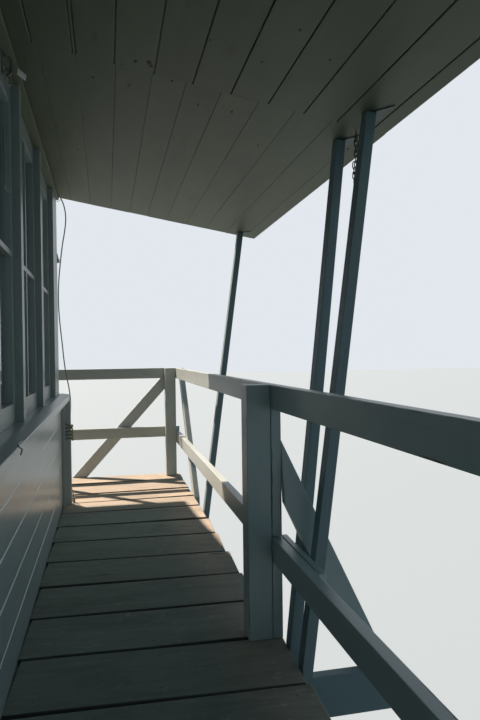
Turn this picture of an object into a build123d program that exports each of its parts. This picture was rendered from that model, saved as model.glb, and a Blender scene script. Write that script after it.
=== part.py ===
"""Fire lookout: a glazed cab on a low timber tower, with a railed walk under raised shutters.

Millimetres, +Z up. The origin is on the ground under the middle of the cab.
Sides are named east (+X), north (+Y), west (-X) and south (-Y). Most pieces are drawn for the
east side and repeated round the cab by quarter turns.
"""
import os
from math import atan, cos, degrees, radians, tan

from build123d import *

os.makedirs("parts", exist_ok=True)

# Main sizes of the building
cab_width = 4267.0
walk_width = 914.0
deck_height = 3660.0

# Timber stock
plank = 38.0
strut_width = 50.0
stud_stock = 89.0
outrigger_depth = 140.0
joist_depth = 184.0
butt_gap = 0.5

# Footings and tower
footing_base = 760.0
footing_top = 430.0
footing_height = 360.0
leg_size = 200.0
leg_foot = 2250.0
leg_head = 1830.0
cap_width = 185.0
cap_depth = 235.0
cap_setback = 60.0
brace_width = 140.0
brace_low = 330.0
brace_high = 330.0
brace_lap = 60.0

# Deck framing
joist_spacing = 516.0
outrigger_reach = 366.0
outrigger_root = 1900.0
outrigger_chamfer = 25.0

# Cab walls and windows, heights above the deck; the window frames stand back from the lower walls
wall_thick = 100.0
sill_top = 765.0
sill_thick = 45.0
sill_nose = 50.0
sill_stool = 15.0
sill_fall = 8.0
window_head = 2100.0
plate_top = 2260.0
ceiling_thick = 20.0
corner_board_width = 89.0
corner_board_thick = 19.0
bays = 5
frame_setback = 17.0
pillar_width = 283.0
mullion_width = 64.0
sash_thick = 35.0
sash_setback = 48.0
sash_stile = 45.0
sash_bottom_rail = 78.0
sash_top_rail = 92.0
sash_gap = 0.5
muntin_width = 22.0
muntin_depth = 20.0
pane_thick = 4.0
pane_rebate = 8.0
pane_gap = 0.5

# Door
threshold_thick = 25.0
threshold_nose = 20.0
door_thick = 40.0
door_setback = 40.0
door_stile = 100.0
door_lock_rail = 150.0
door_lock_height = 960.0
door_bottom_rail = 200.0
panel_recess = 10.0
knob_radius = 26.0
rose_radius = 30.0
rose_thick = 6.0
neck_radius = 9.0
neck_length = 34.0
spindle_clearance = 1.0

# Roof
roof_pitch = 20.0
rafter_depth = 95.0
rafter_count = 8
rafter_root = 230.0
eave_overhang = 180.0
fascia_thick = 20.0
fascia_depth = 90.0
roof_thick = 40.0
drip_edge = 15.0
roof_flat = 120.0
hip_cap_width = 170.0
hip_cap_thick = 4.0

# Shutters and their struts
hinge_height = 2115.0
shutter_overhang = 486.0
shutter_drop = 9.9
shutter_thick = 22.0
shutter_gap = 4.0
shutter_setback = 100.0
batten_width = 89.0
batten_thick = 22.0
batten_margin = 110.0
hinge_strap_width = 40.0
hinge_strap_length = 360.0
hinge_strap_thick = 5.0
hinge_plate_height = 34.0
hinge_knuckle_radius = 8.0
wrought_sides = 8
hinge_clear = 3.0
strut_spread = 340.0
strut_bolt_drop = 150.0
strut_margin = 97.5
strut_run = 312.0
middle_strut_head = 156.0
outrigger_strut_head = -132.0
middle_strut_foot = -160.0
bracket_side = 20.0
bracket_reach = 50.0
bracket_head = 105.0
bracket_tail = 80.0
bracket_thick = 4.0

# Guard rail
rail_height = 914.0
low_rail_side = 367.0
low_rail_end = 410.0
mid_post_line = -60.0
knee_head = 605.0
knee_head_shift = 40.0
knee_foot = -105.0
knee_foot_inset = 60.0
corner_brace_run = 730.0
corner_brace_rise = 806.0
corner_brace_foot = 70.0

# Corner batten, and the lightning wire that hangs beside it: offsets from the north-east corner
# of the cab and heights above the deck
batten_side = 38.0
wire_diameter = 8.0
wire_route = (
    (-30.0, 0.0, 2181.0),
    (-30.0, 40.0, 2181.0),
    (-3.0, 64.0, 2150.0),
    (28.0, 66.0, 2092.0),
    (43.0, 59.0, 2000.0),
    (33.0, 61.0, 1903.0),
    (15.0, 56.0, 1805.0),
    (2.0, 60.0, 1703.0),
    (-9.0, 57.0, 1600.0),
    (-17.0, 61.0, 1498.0),
    (-18.0, 58.0, 1393.0),
    (-13.0, 62.0, 1290.0),
    (-4.0, 60.0, 1188.0),
    (6.0, 64.0, 1087.0),
    (14.0, 62.0, 987.0),
    (27.0, 67.0, 890.0),
    (46.0, 68.0, 797.0),
    (55.0, 64.0, 700.0),
    (50.0, 58.0, 602.0),
    (44.0, 51.0, 508.0),
    (47.0, 44.0, 410.0),
    (43.0, 41.0, 311.0),
    (49.0, 42.0, 213.0),
    (46.0, 45.0, 118.0),
    (66.0, 52.0, 56.0),
    (66.0, 52.0, 0.0),
)
wire_ease = 0.45
wire_sides = 6

# Places worked out from the sizes above
half_cab = cab_width / 2
half_deck = half_cab + walk_width
joist_top = deck_height - plank
joist_bottom = joist_top - joist_depth
cap_bottom = joist_bottom - cap_depth
post_face = half_deck - plank
post_line = post_face - stud_stock / 2
rail_line = half_deck - plank / 2
wall_top = sill_top - sill_thick
inner_face = half_cab - wall_thick
frame_face = half_cab - frame_setback
frame_depth = wall_thick - frame_setback
frame_line = inner_face + frame_depth / 2
bay_width = (2 * (frame_face - pillar_width) + mullion_width) / bays
bay_edge = bay_width / 2
clear_bay = bay_width - mullion_width
tan_pitch = tan(radians(roof_pitch))
eave_line = half_cab + eave_overhang
shutter_depth = walk_width + shutter_overhang
strut_head = walk_width + strut_spread
corners = ((1, 1), (-1, 1), (-1, -1), (1, -1))


def quarter(turn):
    """A location that turns the east side to face east, north, west or south."""
    return Locations(Location((0, 0, 0), (0, 0, 90 * turn)))


def at(x, y, height):
    """A location at a height above the deck."""
    return Locations((x, y, deck_height + height))


def bar_plane(start, end):
    """A plane along a bar: X runs from start to end, Z lies as near the Y axis as it can."""
    run = (end - start).normalized()
    across = (Vector(0, 1, 0) - run * run.Y).normalized()
    return Plane(origin=(start + end) * 0.5, x_dir=run, z_dir=across)


# Footings: tapered concrete blocks
with BuildPart() as footings:
    with BuildSketch():
        with GridLocations(2 * leg_foot, 2 * leg_foot, 2, 2):
            Rectangle(footing_base, footing_base)
    footing_taper = degrees(atan((footing_base - footing_top) / 2 / footing_height))
    extrude(amount=footing_height, taper=footing_taper)
footings.part.label = "footings"
export_step(footings.part, "parts/footings.step")

# Legs: square timbers that lean in towards the cap beams
with BuildPart() as tower_legs:
    for x_side, y_side in corners:
        with BuildSketch(Plane.XY.offset(footing_height)):
            with Locations((x_side * leg_foot, y_side * leg_foot)):
                Rectangle(leg_size, leg_size)
        with BuildSketch(Plane.XY.offset(cap_bottom)):
            with Locations((x_side * leg_head, y_side * leg_head)):
                Rectangle(leg_size, leg_size)
        loft()
tower_legs.part.label = "tower_legs"
export_step(tower_legs.part, "parts/tower_legs.step")

# Cross braces: on each side one plank outside the legs and one inside
leg_lean = (leg_foot - leg_head) / (cap_bottom - footing_height)
brace_base = footing_height + brace_low
brace_top = cap_bottom - brace_high
brace_middle = (brace_base + brace_top) / 2


def leg_centre(height):
    """How far a leg's centre line stands from the middle at a height above the ground."""
    return leg_foot - leg_lean * (height - footing_height)


face_tilt = atan(leg_lean)
brace_reach = leg_centre(brace_base) + leg_centre(brace_top)
brace_climb = (brace_top - brace_base) * (1 + leg_lean**2) ** 0.5
brace_length = (brace_reach**2 + brace_climb**2) ** 0.5 + 2 * brace_lap
brace_angle = degrees(atan(brace_climb / brace_reach))
brace_shift = (leg_centre(brace_top) - leg_centre(brace_base)) / 2
outer_face = Plane(
    origin=(leg_centre(brace_middle) + leg_size / 2, 0, brace_middle),
    x_dir=(0, 1, 0),
    z_dir=(1, 0, leg_lean),
)
inner_brace_face = Plane(
    origin=(leg_centre(brace_middle) - leg_size / 2, 0, brace_middle),
    x_dir=(0, 1, 0),
    z_dir=(1, 0, leg_lean),
)
with BuildPart() as brace_pair:
    with BuildSketch(outer_face):
        with Locations((brace_shift, 0)):
            Rectangle(brace_length, brace_width, rotation=brace_angle)
    extrude(amount=plank)
    with BuildSketch(inner_brace_face):
        with Locations((-brace_shift, 0)):
            Rectangle(brace_length, brace_width, rotation=-brace_angle)
    extrude(amount=-plank)
with BuildPart() as cross_braces:
    with PolarLocations(0, 4):
        add(brace_pair.part)
cross_braces.part.label = "cross_braces"
export_step(cross_braces.part, "parts/cross_braces.step")

# Cap beams on the leg heads
with BuildPart() as cap_beams:
    with Locations((-leg_head, 0, cap_bottom + cap_depth / 2), (leg_head, 0, cap_bottom + cap_depth / 2)):
        Box(cap_width, 2 * (half_deck - cap_setback), cap_depth)
cap_beams.part.label = "cap_beams"
export_step(cap_beams.part, "parts/cap_beams.step")

# Joists from rim to rim, in pairs either side of the middle
joist_count = 2 * int((post_face - plank / 2) / joist_spacing + 0.5)
last_joist = (joist_count - 1) / 2 * joist_spacing + plank / 2
with BuildPart() as floor_joists:
    with Locations((0, 0, joist_bottom + joist_depth / 2)):
        with GridLocations(1, joist_spacing, 1, joist_count):
            Box(2 * post_face, plank, joist_depth)
floor_joists.part.label = "floor_joists"
export_step(floor_joists.part, "parts/floor_joists.step")

# Outriggers: one under each side, beside a joist or butted on one, chamfered at the end
outrigger_line = -joist_spacing / 2 - plank
outrigger_end = half_deck + outrigger_reach
with BuildPart() as outriggers:
    for turn in range(4):
        root = outrigger_root if turn % 2 == 0 else last_joist
        with quarter(turn):
            with Locations(((root + outrigger_end) / 2, outrigger_line, joist_top - outrigger_depth / 2)):
                Box(outrigger_end - root, plank, outrigger_depth)
    tip_edges = outriggers.edges().group_by(Axis.Z)[-1].filter_by(
        lambda edge: max(abs(edge.center().X), abs(edge.center().Y)) > outrigger_end - 1
    )
    chamfer(tip_edges, length=outrigger_chamfer)
outriggers.part.label = "outriggers"
export_step(outriggers.part, "parts/outriggers.step")

# Rim boards round the deck, notched over the outriggers
with BuildPart() as rim_boards:
    for turn in range(4):
        rim_length = 2 * half_deck if turn % 2 == 0 else 2 * (post_face - butt_gap)
        with quarter(turn):
            with Locations((rail_line, 0, joist_bottom + joist_depth / 2)):
                Box(plank, rim_length, joist_depth)
            with Locations((rail_line, outrigger_line, joist_top - outrigger_depth / 2)):
                Box(plank, plank + 2 * butt_gap, outrigger_depth + 2 * butt_gap, mode=Mode.SUBTRACT)
rim_boards.part.label = "rim_boards"
export_step(rim_boards.part, "parts/rim_boards.step")

# Deck: the east and west walks run the full length, the north and south walks fit between
deck_middle = half_cab + walk_width / 2
with BuildPart() as deck_east:
    with at(deck_middle, 0, -plank / 2):
        Box(walk_width, 2 * half_deck, plank)
deck_east.part.label = "deck_east"
export_step(deck_east.part, "parts/deck_east.step")

with BuildPart() as deck_west:
    with at(-deck_middle, 0, -plank / 2):
        Box(walk_width, 2 * half_deck, plank)
deck_west.part.label = "deck_west"
export_step(deck_west.part, "parts/deck_west.step")

with BuildPart() as deck_north:
    with at(0, deck_middle, -plank / 2):
        Box(cab_width, walk_width, plank)
deck_north.part.label = "deck_north"
export_step(deck_north.part, "parts/deck_north.step")

with BuildPart() as deck_south:
    with at(0, -deck_middle, -plank / 2):
        Box(cab_width, walk_width, plank)
deck_south.part.label = "deck_south"
export_step(deck_south.part, "parts/deck_south.step")

with BuildPart() as cab_floor:
    with at(0, 0, -plank / 2):
        Box(cab_width, cab_width, plank)
cab_floor.part.label = "cab_floor"
export_step(cab_floor.part, "parts/cab_floor.step")

# Lower walls: each starts at one corner and butts on the next wall
wall_line = half_cab - wall_thick / 2
wall_length = cab_width - wall_thick
with BuildPart() as wall_east:
    with at(wall_line, -wall_thick / 2, wall_top / 2):
        Box(wall_thick, wall_length, wall_top)
wall_east.part.label = "wall_east"
export_step(wall_east.part, "parts/wall_east.step")

with BuildPart() as wall_north:
    with quarter(1):
        with at(wall_line, -wall_thick / 2, wall_top / 2):
            Box(wall_thick, wall_length, wall_top)
wall_north.part.label = "wall_north"
export_step(wall_north.part, "parts/wall_north.step")

doorway = bay_edge + mullion_width / 2
with BuildPart() as wall_west:
    with quarter(2):
        with at(wall_line, -wall_thick / 2, wall_top / 2):
            Box(wall_thick, wall_length, wall_top)
        with at(wall_line, 0, wall_top / 2):
            Box(wall_thick, 2 * doorway, wall_top, mode=Mode.SUBTRACT)
wall_west.part.label = "wall_west"
export_step(wall_west.part, "parts/wall_west.step")

with BuildPart() as wall_south:
    with quarter(3):
        with at(wall_line, -wall_thick / 2, wall_top / 2):
            Box(wall_thick, wall_length, wall_top)
wall_south.part.label = "wall_south"
export_step(wall_south.part, "parts/wall_south.step")

# Corner boards cover the wall ends below the sills, and one corner has an extra batten
with BuildPart() as corner_boards:
    board_out = half_cab + corner_board_thick
    with BuildSketch(Plane.XY.offset(deck_height)) as corner_plan:
        with GridLocations(2 * board_out - corner_board_width, 2 * board_out - corner_board_width, 2, 2):
            Rectangle(corner_board_width, corner_board_width)
        Rectangle(cab_width, cab_width, mode=Mode.SUBTRACT)
    extrude(amount=wall_top)
corner_boards.part.label = "corner_boards"
export_step(corner_boards.part, "parts/corner_boards.step")

with BuildPart() as corner_batten:
    with at(board_out + batten_side / 2, board_out - batten_side / 2, wall_top / 2):
        Box(batten_side, batten_side, wall_top)
corner_batten.part.label = "corner_batten"
export_step(corner_batten.part, "parts/corner_batten.step")

# Sills: level under the wall, falling to the nose outside it
stool_edge = inner_face - sill_stool
with BuildPart() as window_sills:
    for turn in range(4):
        sill_half = half_cab + sill_nose if turn % 2 == 0 else stool_edge - butt_gap
        side_turn = Plane(origin=(0, 0, deck_height)).rotated((0, 0, 90 * turn))
        section = Plane(
            origin=side_turn.from_local_coords((0, -sill_half, 0)),
            x_dir=side_turn.x_dir,
            z_dir=-side_turn.y_dir,
        )
        with BuildSketch(section):
            with BuildLine():
                Polyline(
                    (stool_edge, wall_top),
                    (half_cab + sill_nose, wall_top),
                    (half_cab + sill_nose, sill_top - sill_fall),
                    (half_cab, sill_top),
                    (stool_edge, sill_top),
                    close=True,
                )
            make_face()
        extrude(amount=-2 * sill_half)
    with quarter(2):
        with at(half_cab, 0, wall_top + sill_thick / 2):
            Box(2 * wall_thick + sill_nose, 2 * doorway, sill_thick, mode=Mode.SUBTRACT)
window_sills.part.label = "window_sills"
export_step(window_sills.part, "parts/window_sills.step")

# Corner pillars, headers and ceiling
with BuildPart() as corner_pillars:
    with BuildSketch(Plane.XY.offset(deck_height + sill_top)):
        with GridLocations(2 * frame_face - pillar_width, 2 * frame_face - pillar_width, 2, 2):
            Rectangle(pillar_width, pillar_width)
        Rectangle(2 * inner_face, 2 * inner_face, mode=Mode.SUBTRACT)
    extrude(amount=window_head - sill_top)
corner_pillars.part.label = "corner_pillars"
export_step(corner_pillars.part, "parts/corner_pillars.step")

header_depth = plate_top - window_head
with BuildPart() as headers:
    for turn in range(4):
        header_length = cab_width if turn % 2 == 0 else 2 * (inner_face - butt_gap)
        with quarter(turn):
            with at(wall_line, 0, window_head + header_depth / 2):
                Box(wall_thick, header_length, header_depth)
headers.part.label = "headers"
export_step(headers.part, "parts/headers.step")

with BuildPart() as ceiling:
    with at(0, 0, plate_top - ceiling_thick / 2):
        Box(2 * inner_face, 2 * inner_face, ceiling_thick)
ceiling.part.label = "ceiling"
export_step(ceiling.part, "parts/ceiling.step")

# Mullions between the windows; the two beside the door run down to the floor with it
window_height = window_head - sill_top
with BuildPart() as mullions:
    for turn in range(4):
        for step in range(bays - 1):
            mullion_y = (step + 1 - bays / 2) * bay_width
            if turn == 2 and abs(mullion_y) < bay_width:
                continue
            with quarter(turn):
                with at(frame_line, mullion_y, sill_top + window_height / 2):
                    Box(frame_depth, mullion_width, window_height)
mullions.part.label = "mullions"
export_step(mullions.part, "parts/mullions.step")

with BuildPart() as door_frame:
    with quarter(2):
        for jamb_side in (-1, 1):
            with at(frame_line, jamb_side * bay_edge, window_head / 2):
                Box(frame_depth, mullion_width, window_head)
        with at(wall_line + threshold_nose / 2, 0, threshold_thick / 2):
            Box(wall_thick + threshold_nose, clear_bay, threshold_thick)
door_frame.part.label = "door_frame"
export_step(door_frame.part, "parts/door_frame.step")

# One window sash with two by two lights, and its pane in a rebate behind the glazing bars
sash_width = clear_bay - 2 * sash_gap
sash_height = window_height - sash_gap
light_width = sash_width - 2 * sash_stile
light_height = sash_height - sash_top_rail - sash_bottom_rail
light_middle = sill_top + sash_bottom_rail + light_height / 2
half_light_width = (light_width - muntin_width) / 2
half_light_height = (light_height - muntin_width) / 2
sash_face = half_cab - sash_setback
pane_lap = pane_rebate - pane_gap
window_plane = Plane(origin=(sash_face, 0, deck_height), x_dir=(0, 1, 0), z_dir=(1, 0, 0))
with BuildPart() as sash:
    with BuildSketch(window_plane):
        with Locations((0, sill_top + sash_height / 2)):
            Rectangle(sash_width, sash_height)
        with Locations((0, light_middle)):
            with GridLocations(half_light_width + muntin_width, half_light_height + muntin_width, 2, 2):
                Rectangle(half_light_width, half_light_height, mode=Mode.SUBTRACT)
    extrude(amount=-sash_thick)
    with BuildSketch(window_plane.offset(-muntin_depth)):
        with Locations((0, light_middle)):
            Rectangle(light_width + 2 * pane_rebate, light_height + 2 * pane_rebate)
    extrude(amount=-sash_thick, mode=Mode.SUBTRACT)
with BuildPart() as pane:
    with BuildSketch(window_plane.offset(-muntin_depth)):
        with Locations((0, light_middle)):
            Rectangle(light_width + 2 * pane_lap, light_height + 2 * pane_lap)
    extrude(amount=-pane_thick)
window_places = []
for turn in range(4):
    for bay in range(bays):
        bay_y = (bay - (bays - 1) / 2) * bay_width
        if turn != 2 or abs(bay_y) > bay_edge:
            window_places.append(Location((0, 0, 0), (0, 0, 90 * turn)) * Location((0, bay_y, 0)))
with BuildPart() as window_sashes:
    with Locations(*window_places):
        add(sash.part)
window_sashes.part.label = "window_sashes"
export_step(window_sashes.part, "parts/window_sashes.step")

# Door leaf: four lights over a sunk panel, with a knob on a spindle through the stile
leaf_width = clear_bay - 2 * sash_gap
leaf_height = window_head - threshold_thick - sash_gap
door_face = half_cab - door_setback
door_plane = Plane(origin=(door_face, 0, deck_height), x_dir=(0, 1, 0), z_dir=(1, 0, 0))
glass_low = door_lock_height + door_lock_rail / 2
glass_high = threshold_thick + leaf_height - door_stile
glass_height = glass_high - glass_low
door_light_width = leaf_width - 2 * door_stile
door_pane_width = (door_light_width - muntin_width) / 2
door_pane_height = (glass_height - muntin_width) / 2
panel_low = threshold_thick + door_bottom_rail
panel_height = door_lock_height - door_lock_rail / 2 - panel_low
knob_y = leaf_width / 2 - door_stile / 2
with BuildPart() as door:
    with BuildSketch(door_plane):
        with Locations((0, threshold_thick + leaf_height / 2)):
            Rectangle(leaf_width, leaf_height)
        with Locations((0, glass_low + glass_height / 2)):
            with GridLocations(door_pane_width + muntin_width, door_pane_height + muntin_width, 2, 2):
                Rectangle(door_pane_width, door_pane_height, mode=Mode.SUBTRACT)
        with Locations((knob_y, door_lock_height)):
            Circle(neck_radius + spindle_clearance, mode=Mode.SUBTRACT)
    extrude(amount=-door_thick)
    with BuildSketch(door_plane.offset(-muntin_depth)):
        with Locations((0, glass_low + glass_height / 2)):
            Rectangle(door_light_width + 2 * pane_rebate, glass_height + 2 * pane_rebate)
    extrude(amount=-door_thick, mode=Mode.SUBTRACT)
    with BuildSketch(door_plane, door_plane.offset(-door_thick + panel_recess)):
        with Locations((0, panel_low + panel_height / 2)):
            Rectangle(door_light_width, panel_height)
    extrude(amount=-panel_recess, mode=Mode.SUBTRACT)
with BuildPart() as door_turned:
    with quarter(2):
        add(door.part)
door_turned.part.label = "door"
export_step(door_turned.part, "parts/door.step")

with BuildPart() as door_pane:
    with BuildSketch(door_plane.offset(-muntin_depth)):
        with Locations((0, glass_low + glass_height / 2)):
            Rectangle(door_light_width + 2 * pane_lap, glass_height + 2 * pane_lap)
    extrude(amount=-pane_thick)
with BuildPart() as window_panes:
    with Locations(*window_places):
        add(pane.part)
    with quarter(2):
        add(door_pane.part)
window_panes.part.label = "window_panes"
export_step(window_panes.part, "parts/window_panes.step")

half_leaf = door_thick / 2
knob_centre = (door_face - half_leaf, knob_y, deck_height + door_lock_height)
knob_end = half_leaf + neck_length + knob_radius
knob_profile = (
    (0, 0),
    (0, neck_radius),
    (half_leaf, neck_radius),
    (half_leaf, rose_radius),
    (half_leaf + rose_thick, rose_radius),
    (half_leaf + rose_thick, neck_radius),
    (half_leaf + neck_length / 2, neck_radius),
    (half_leaf + neck_length, knob_radius),
    (knob_end - rose_thick, knob_radius / 2),
    (knob_end - rose_thick, 0),
)
with BuildPart() as half_knob:
    with BuildSketch(Plane(origin=knob_centre, z_dir=(0, 1, 0), x_dir=(1, 0, 0))):
        with BuildLine():
            Polyline(*knob_profile, close=True)
        make_face()
    revolve(axis=Axis(knob_centre, (1, 0, 0)))
with BuildPart() as knob_set:
    add(half_knob.part)
    mirror(about=Plane(origin=knob_centre, z_dir=(1, 0, 0)))
with BuildPart() as door_knob:
    with quarter(2):
        add(knob_set.part)
door_knob.part.label = "door_knob"
export_step(door_knob.part, "parts/door_knob.step")

# Rafter tails: notched over the wall plate, their tops under the roof
rafter_spacing = cab_width / rafter_count
with BuildPart() as rafter_tails:
    for turn in range(4):
        for place in range(rafter_count):
            tail_y = (place - (rafter_count - 1) / 2) * rafter_spacing
            side_turn = Plane(origin=(0, 0, deck_height)).rotated((0, 0, 90 * turn))
            section = Plane(
                origin=side_turn.from_local_coords((0, tail_y - plank / 2, 0)),
                x_dir=side_turn.x_dir,
                z_dir=-side_turn.y_dir,
            )
            with BuildSketch(section):
                with BuildLine():
                    Polyline(
                        (half_cab - rafter_root, plate_top),
                        (half_cab, plate_top),
                        (eave_line, plate_top - eave_overhang * tan_pitch),
                        (eave_line, plate_top + rafter_depth - eave_overhang * tan_pitch),
                        (half_cab - rafter_root, plate_top + rafter_depth + rafter_root * tan_pitch),
                        close=True,
                    )
                make_face()
            extrude(amount=-plank)
rafter_tails.part.label = "rafter_tails"
export_step(rafter_tails.part, "parts/rafter_tails.step")

fascia_out = eave_line + fascia_thick
fascia_top = plate_top + rafter_depth - (fascia_out - half_cab) * tan_pitch
with BuildPart() as fascia_boards:
    for turn in range(4):
        fascia_half = fascia_out if turn % 2 == 0 else eave_line - butt_gap
        with quarter(turn):
            with at(eave_line + fascia_thick / 2, 0, fascia_top - fascia_depth / 2):
                Box(fascia_thick, 2 * fascia_half, fascia_depth)
fascia_boards.part.label = "fascia_boards"
export_step(fascia_boards.part, "parts/fascia_boards.step")

# Roof: a four-sided shell of equal pitches, each side mitred to the next at the hips
roof_half = fascia_out + drip_edge
roof_low = plate_top + rafter_depth - (roof_half - half_cab) * tan_pitch
roof_rise = (roof_half - roof_flat / 2) * tan_pitch
roof_section = Plane(origin=(0, roof_half, deck_height + roof_low), x_dir=(1, 0, 0), z_dir=(0, -1, 0))


def slope_outline(low, thick):
    """The section of one roof slope and half the flat, from a height over its lower edge."""
    return (
        (roof_half, low),
        (roof_half, low + thick),
        (roof_flat / 2, low + thick + roof_rise),
        (0, low + thick + roof_rise),
        (0, low + roof_rise),
        (roof_flat / 2, low + roof_rise),
    )


with BuildPart() as roof_side:
    with BuildSketch(roof_section):
        with BuildLine():
            Polyline(*slope_outline(0, roof_thick), close=True)
        make_face()
    extrude(amount=2 * roof_half)
    split(bisect_by=Plane(origin=(0, 0, 0), z_dir=(1, 1, 0)), keep=Keep.TOP)
    split(bisect_by=Plane(origin=(0, 0, 0), z_dir=(1, -1, 0)), keep=Keep.TOP)
with BuildPart() as roof:
    with PolarLocations(0, 4):
        add(roof_side.part)
roof.part.label = "roof"
export_step(roof.part, "parts/roof.step")

# Caps over the hips: a thin layer of the roof's own form, kept along the two diagonals
with BuildPart() as cap_side:
    with BuildSketch(roof_section):
        with BuildLine():
            Polyline(*slope_outline(roof_thick, hip_cap_thick), close=True)
        make_face()
    extrude(amount=2 * roof_half)
    split(bisect_by=Plane(origin=(0, 0, 0), z_dir=(1, 1, 0)), keep=Keep.TOP)
    split(bisect_by=Plane(origin=(0, 0, 0), z_dir=(1, -1, 0)), keep=Keep.TOP)
with BuildPart() as hip_caps:
    with PolarLocations(0, 4):
        add(cap_side.part)
    with BuildSketch(Plane.XY.offset(deck_height + roof_low)):
        for diagonal in (45, -45):
            Rectangle(4 * roof_half, hip_cap_width, rotation=diagonal)
    extrude(amount=2 * roof_rise, mode=Mode.INTERSECT)
hip_caps.part.label = "hip_caps"
export_step(hip_caps.part, "parts/hip_caps.step")

# Shutters: boarded leaves raised on the hinge line, with battens on the upper face
drop_angle = radians(shutter_drop)
shutter_plane = Plane(
    origin=(half_cab, 0, deck_height + hinge_height),
    x_dir=(1, 0, -tan(drop_angle)),
    z_dir=(tan(drop_angle), 0, 1),
)
shutter_pairs = []
batten_lines = []
for turn in range(4):
    shutter_reach = half_cab if turn % 2 == 0 else half_cab - shutter_setback
    shutter_length = shutter_reach - shutter_gap / 2
    shutter_middle = shutter_reach - shutter_length / 2
    lines = (-shutter_length / 2 + batten_margin, 0, shutter_length / 2 - batten_margin)
    batten_lines.append([side * shutter_middle + line for side in (-1, 1) for line in lines])
    with BuildPart() as shutter:
        with BuildSketch(shutter_plane):
            with Locations((shutter_depth / 2 + hinge_clear, 0)):
                Rectangle(shutter_depth, shutter_length)
        extrude(amount=shutter_thick)
        with BuildSketch(shutter_plane.offset(shutter_thick)):
            for line in lines:
                with Locations((shutter_depth / 2 + hinge_clear, line)):
                    Rectangle(shutter_depth, batten_width)
        extrude(amount=batten_thick)
    with BuildPart() as pair:
        with quarter(turn), Locations((0, -shutter_middle, 0), (0, shutter_middle, 0)):
            add(shutter.part)
    shutter_pairs.append(pair.part)

with BuildPart() as shutters_east:
    add(shutter_pairs[0])
shutters_east.part.label = "shutters_east"
export_step(shutters_east.part, "parts/shutters_east.step")

with BuildPart() as shutters_north:
    add(shutter_pairs[1])
shutters_north.part.label = "shutters_north"
export_step(shutters_north.part, "parts/shutters_north.step")

with BuildPart() as shutters_west:
    add(shutter_pairs[2])
shutters_west.part.label = "shutters_west"
export_step(shutters_west.part, "parts/shutters_west.step")

with BuildPart() as shutters_south:
    add(shutter_pairs[3])
shutters_south.part.label = "shutters_south"
export_step(shutters_south.part, "parts/shutters_south.step")

# Strap hinges: a plate on the header, an eight-sided knuckle and a strap on each batten
batten_top = shutter_thick + batten_thick
knuckle_fall = (batten_top + hinge_knuckle_radius) * tan(drop_angle)
knuckle_at = shutter_plane.from_local_coords(
    (hinge_knuckle_radius / cos(drop_angle) - knuckle_fall, 0, batten_top + hinge_knuckle_radius)
)
with BuildPart() as hinge:
    with BuildSketch(shutter_plane.offset(batten_top)):
        with Locations((hinge_strap_length / 2, 0)):
            Rectangle(hinge_strap_length, hinge_strap_width)
    extrude(amount=hinge_strap_thick)
    with BuildSketch(Plane(origin=knuckle_at, x_dir=(1, 0, 0), z_dir=(0, 1, 0))):
        RegularPolygon(hinge_knuckle_radius, wrought_sides)
    extrude(amount=hinge_strap_width / 2, both=True)
    plate_low = knuckle_at.Z
    with Locations((half_cab + hinge_strap_thick / 2, 0, plate_low + hinge_plate_height / 2)):
        Box(hinge_strap_thick, hinge_strap_width, hinge_plate_height)
with BuildPart() as shutter_hinges:
    for turn in range(4):
        for line in batten_lines[turn]:
            with quarter(turn):
                with Locations((0, line, 0)):
                    add(hinge.part)
shutter_hinges.part.label = "shutter_hinges"
export_step(shutter_hinges.part, "parts/shutter_hinges.step")

# Struts: from the rim or an outrigger up to the underside of each shutter
rim_side = Plane(origin=(half_deck, 0, 0), x_dir=(0, 1, 0), z_dir=(1, 0, 0))
head_drop = strut_head * tan(drop_angle)
bracket_face = shutter_plane.offset(-bracket_thick)
strut_bars = []
bracket_plates = []
for turn in range(4):
    outer = half_cab - strut_margin if turn % 2 == 0 else half_cab - strut_margin - shutter_setback
    heads = (outer, middle_strut_head, outrigger_strut_head, -outer)
    feet = (outer - strut_run, middle_strut_foot, outrigger_line, strut_run - outer)
    for head_y, foot_y in zip(heads, feet):
        seat_height = joist_top if foot_y == outrigger_line else deck_height - strut_bolt_drop
        head = Vector(half_cab + strut_head, head_y, deck_height + hinge_height - head_drop)
        foot = Vector(half_deck + plank / 2, foot_y, deck_height)
        with BuildPart(bar_plane(foot, head)) as strut:
            Box(1.4 * (head - foot).length, plank, strut_width)
            split(bisect_by=bracket_face, keep=Keep.BOTTOM)
            split(bisect_by=Plane.XY.offset(seat_height), keep=Keep.TOP)
            split(bisect_by=rim_side, keep=Keep.TOP)
        strut_bars.append(strut.part.rotate(Axis.Z, 90 * turn))
        with BuildPart() as bracket:
            with BuildSketch(Plane(origin=head, x_dir=shutter_plane.x_dir, z_dir=shutter_plane.z_dir)):
                with BuildLine():
                    Polyline(
                        (-bracket_side, bracket_side),
                        (bracket_reach, -bracket_head),
                        (bracket_reach, bracket_tail),
                        close=True,
                    )
                make_face()
            extrude(amount=-bracket_thick)
        bracket_plates.append(bracket.part.rotate(Axis.Z, 90 * turn))
with BuildPart() as shutter_struts:
    add(strut_bars)
shutter_struts.part.label = "shutter_struts"
export_step(shutter_struts.part, "parts/shutter_struts.step")

with BuildPart() as strut_brackets:
    add(bracket_plates)
strut_brackets.part.label = "strut_brackets"
export_step(strut_brackets.part, "parts/strut_brackets.step")

# Guard rail posts: at each corner and one on each side, inside the rails
with BuildPart() as rail_posts:
    with PolarLocations(0, 4):
        with at(post_line, post_line, rail_height / 2):
            Box(stud_stock, stud_stock, rail_height)
        with at(post_line, mid_post_line, rail_height / 2):
            Box(stud_stock, stud_stock, rail_height)
rail_posts.part.label = "rail_posts"
export_step(rail_posts.part, "parts/rail_posts.step")

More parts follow.
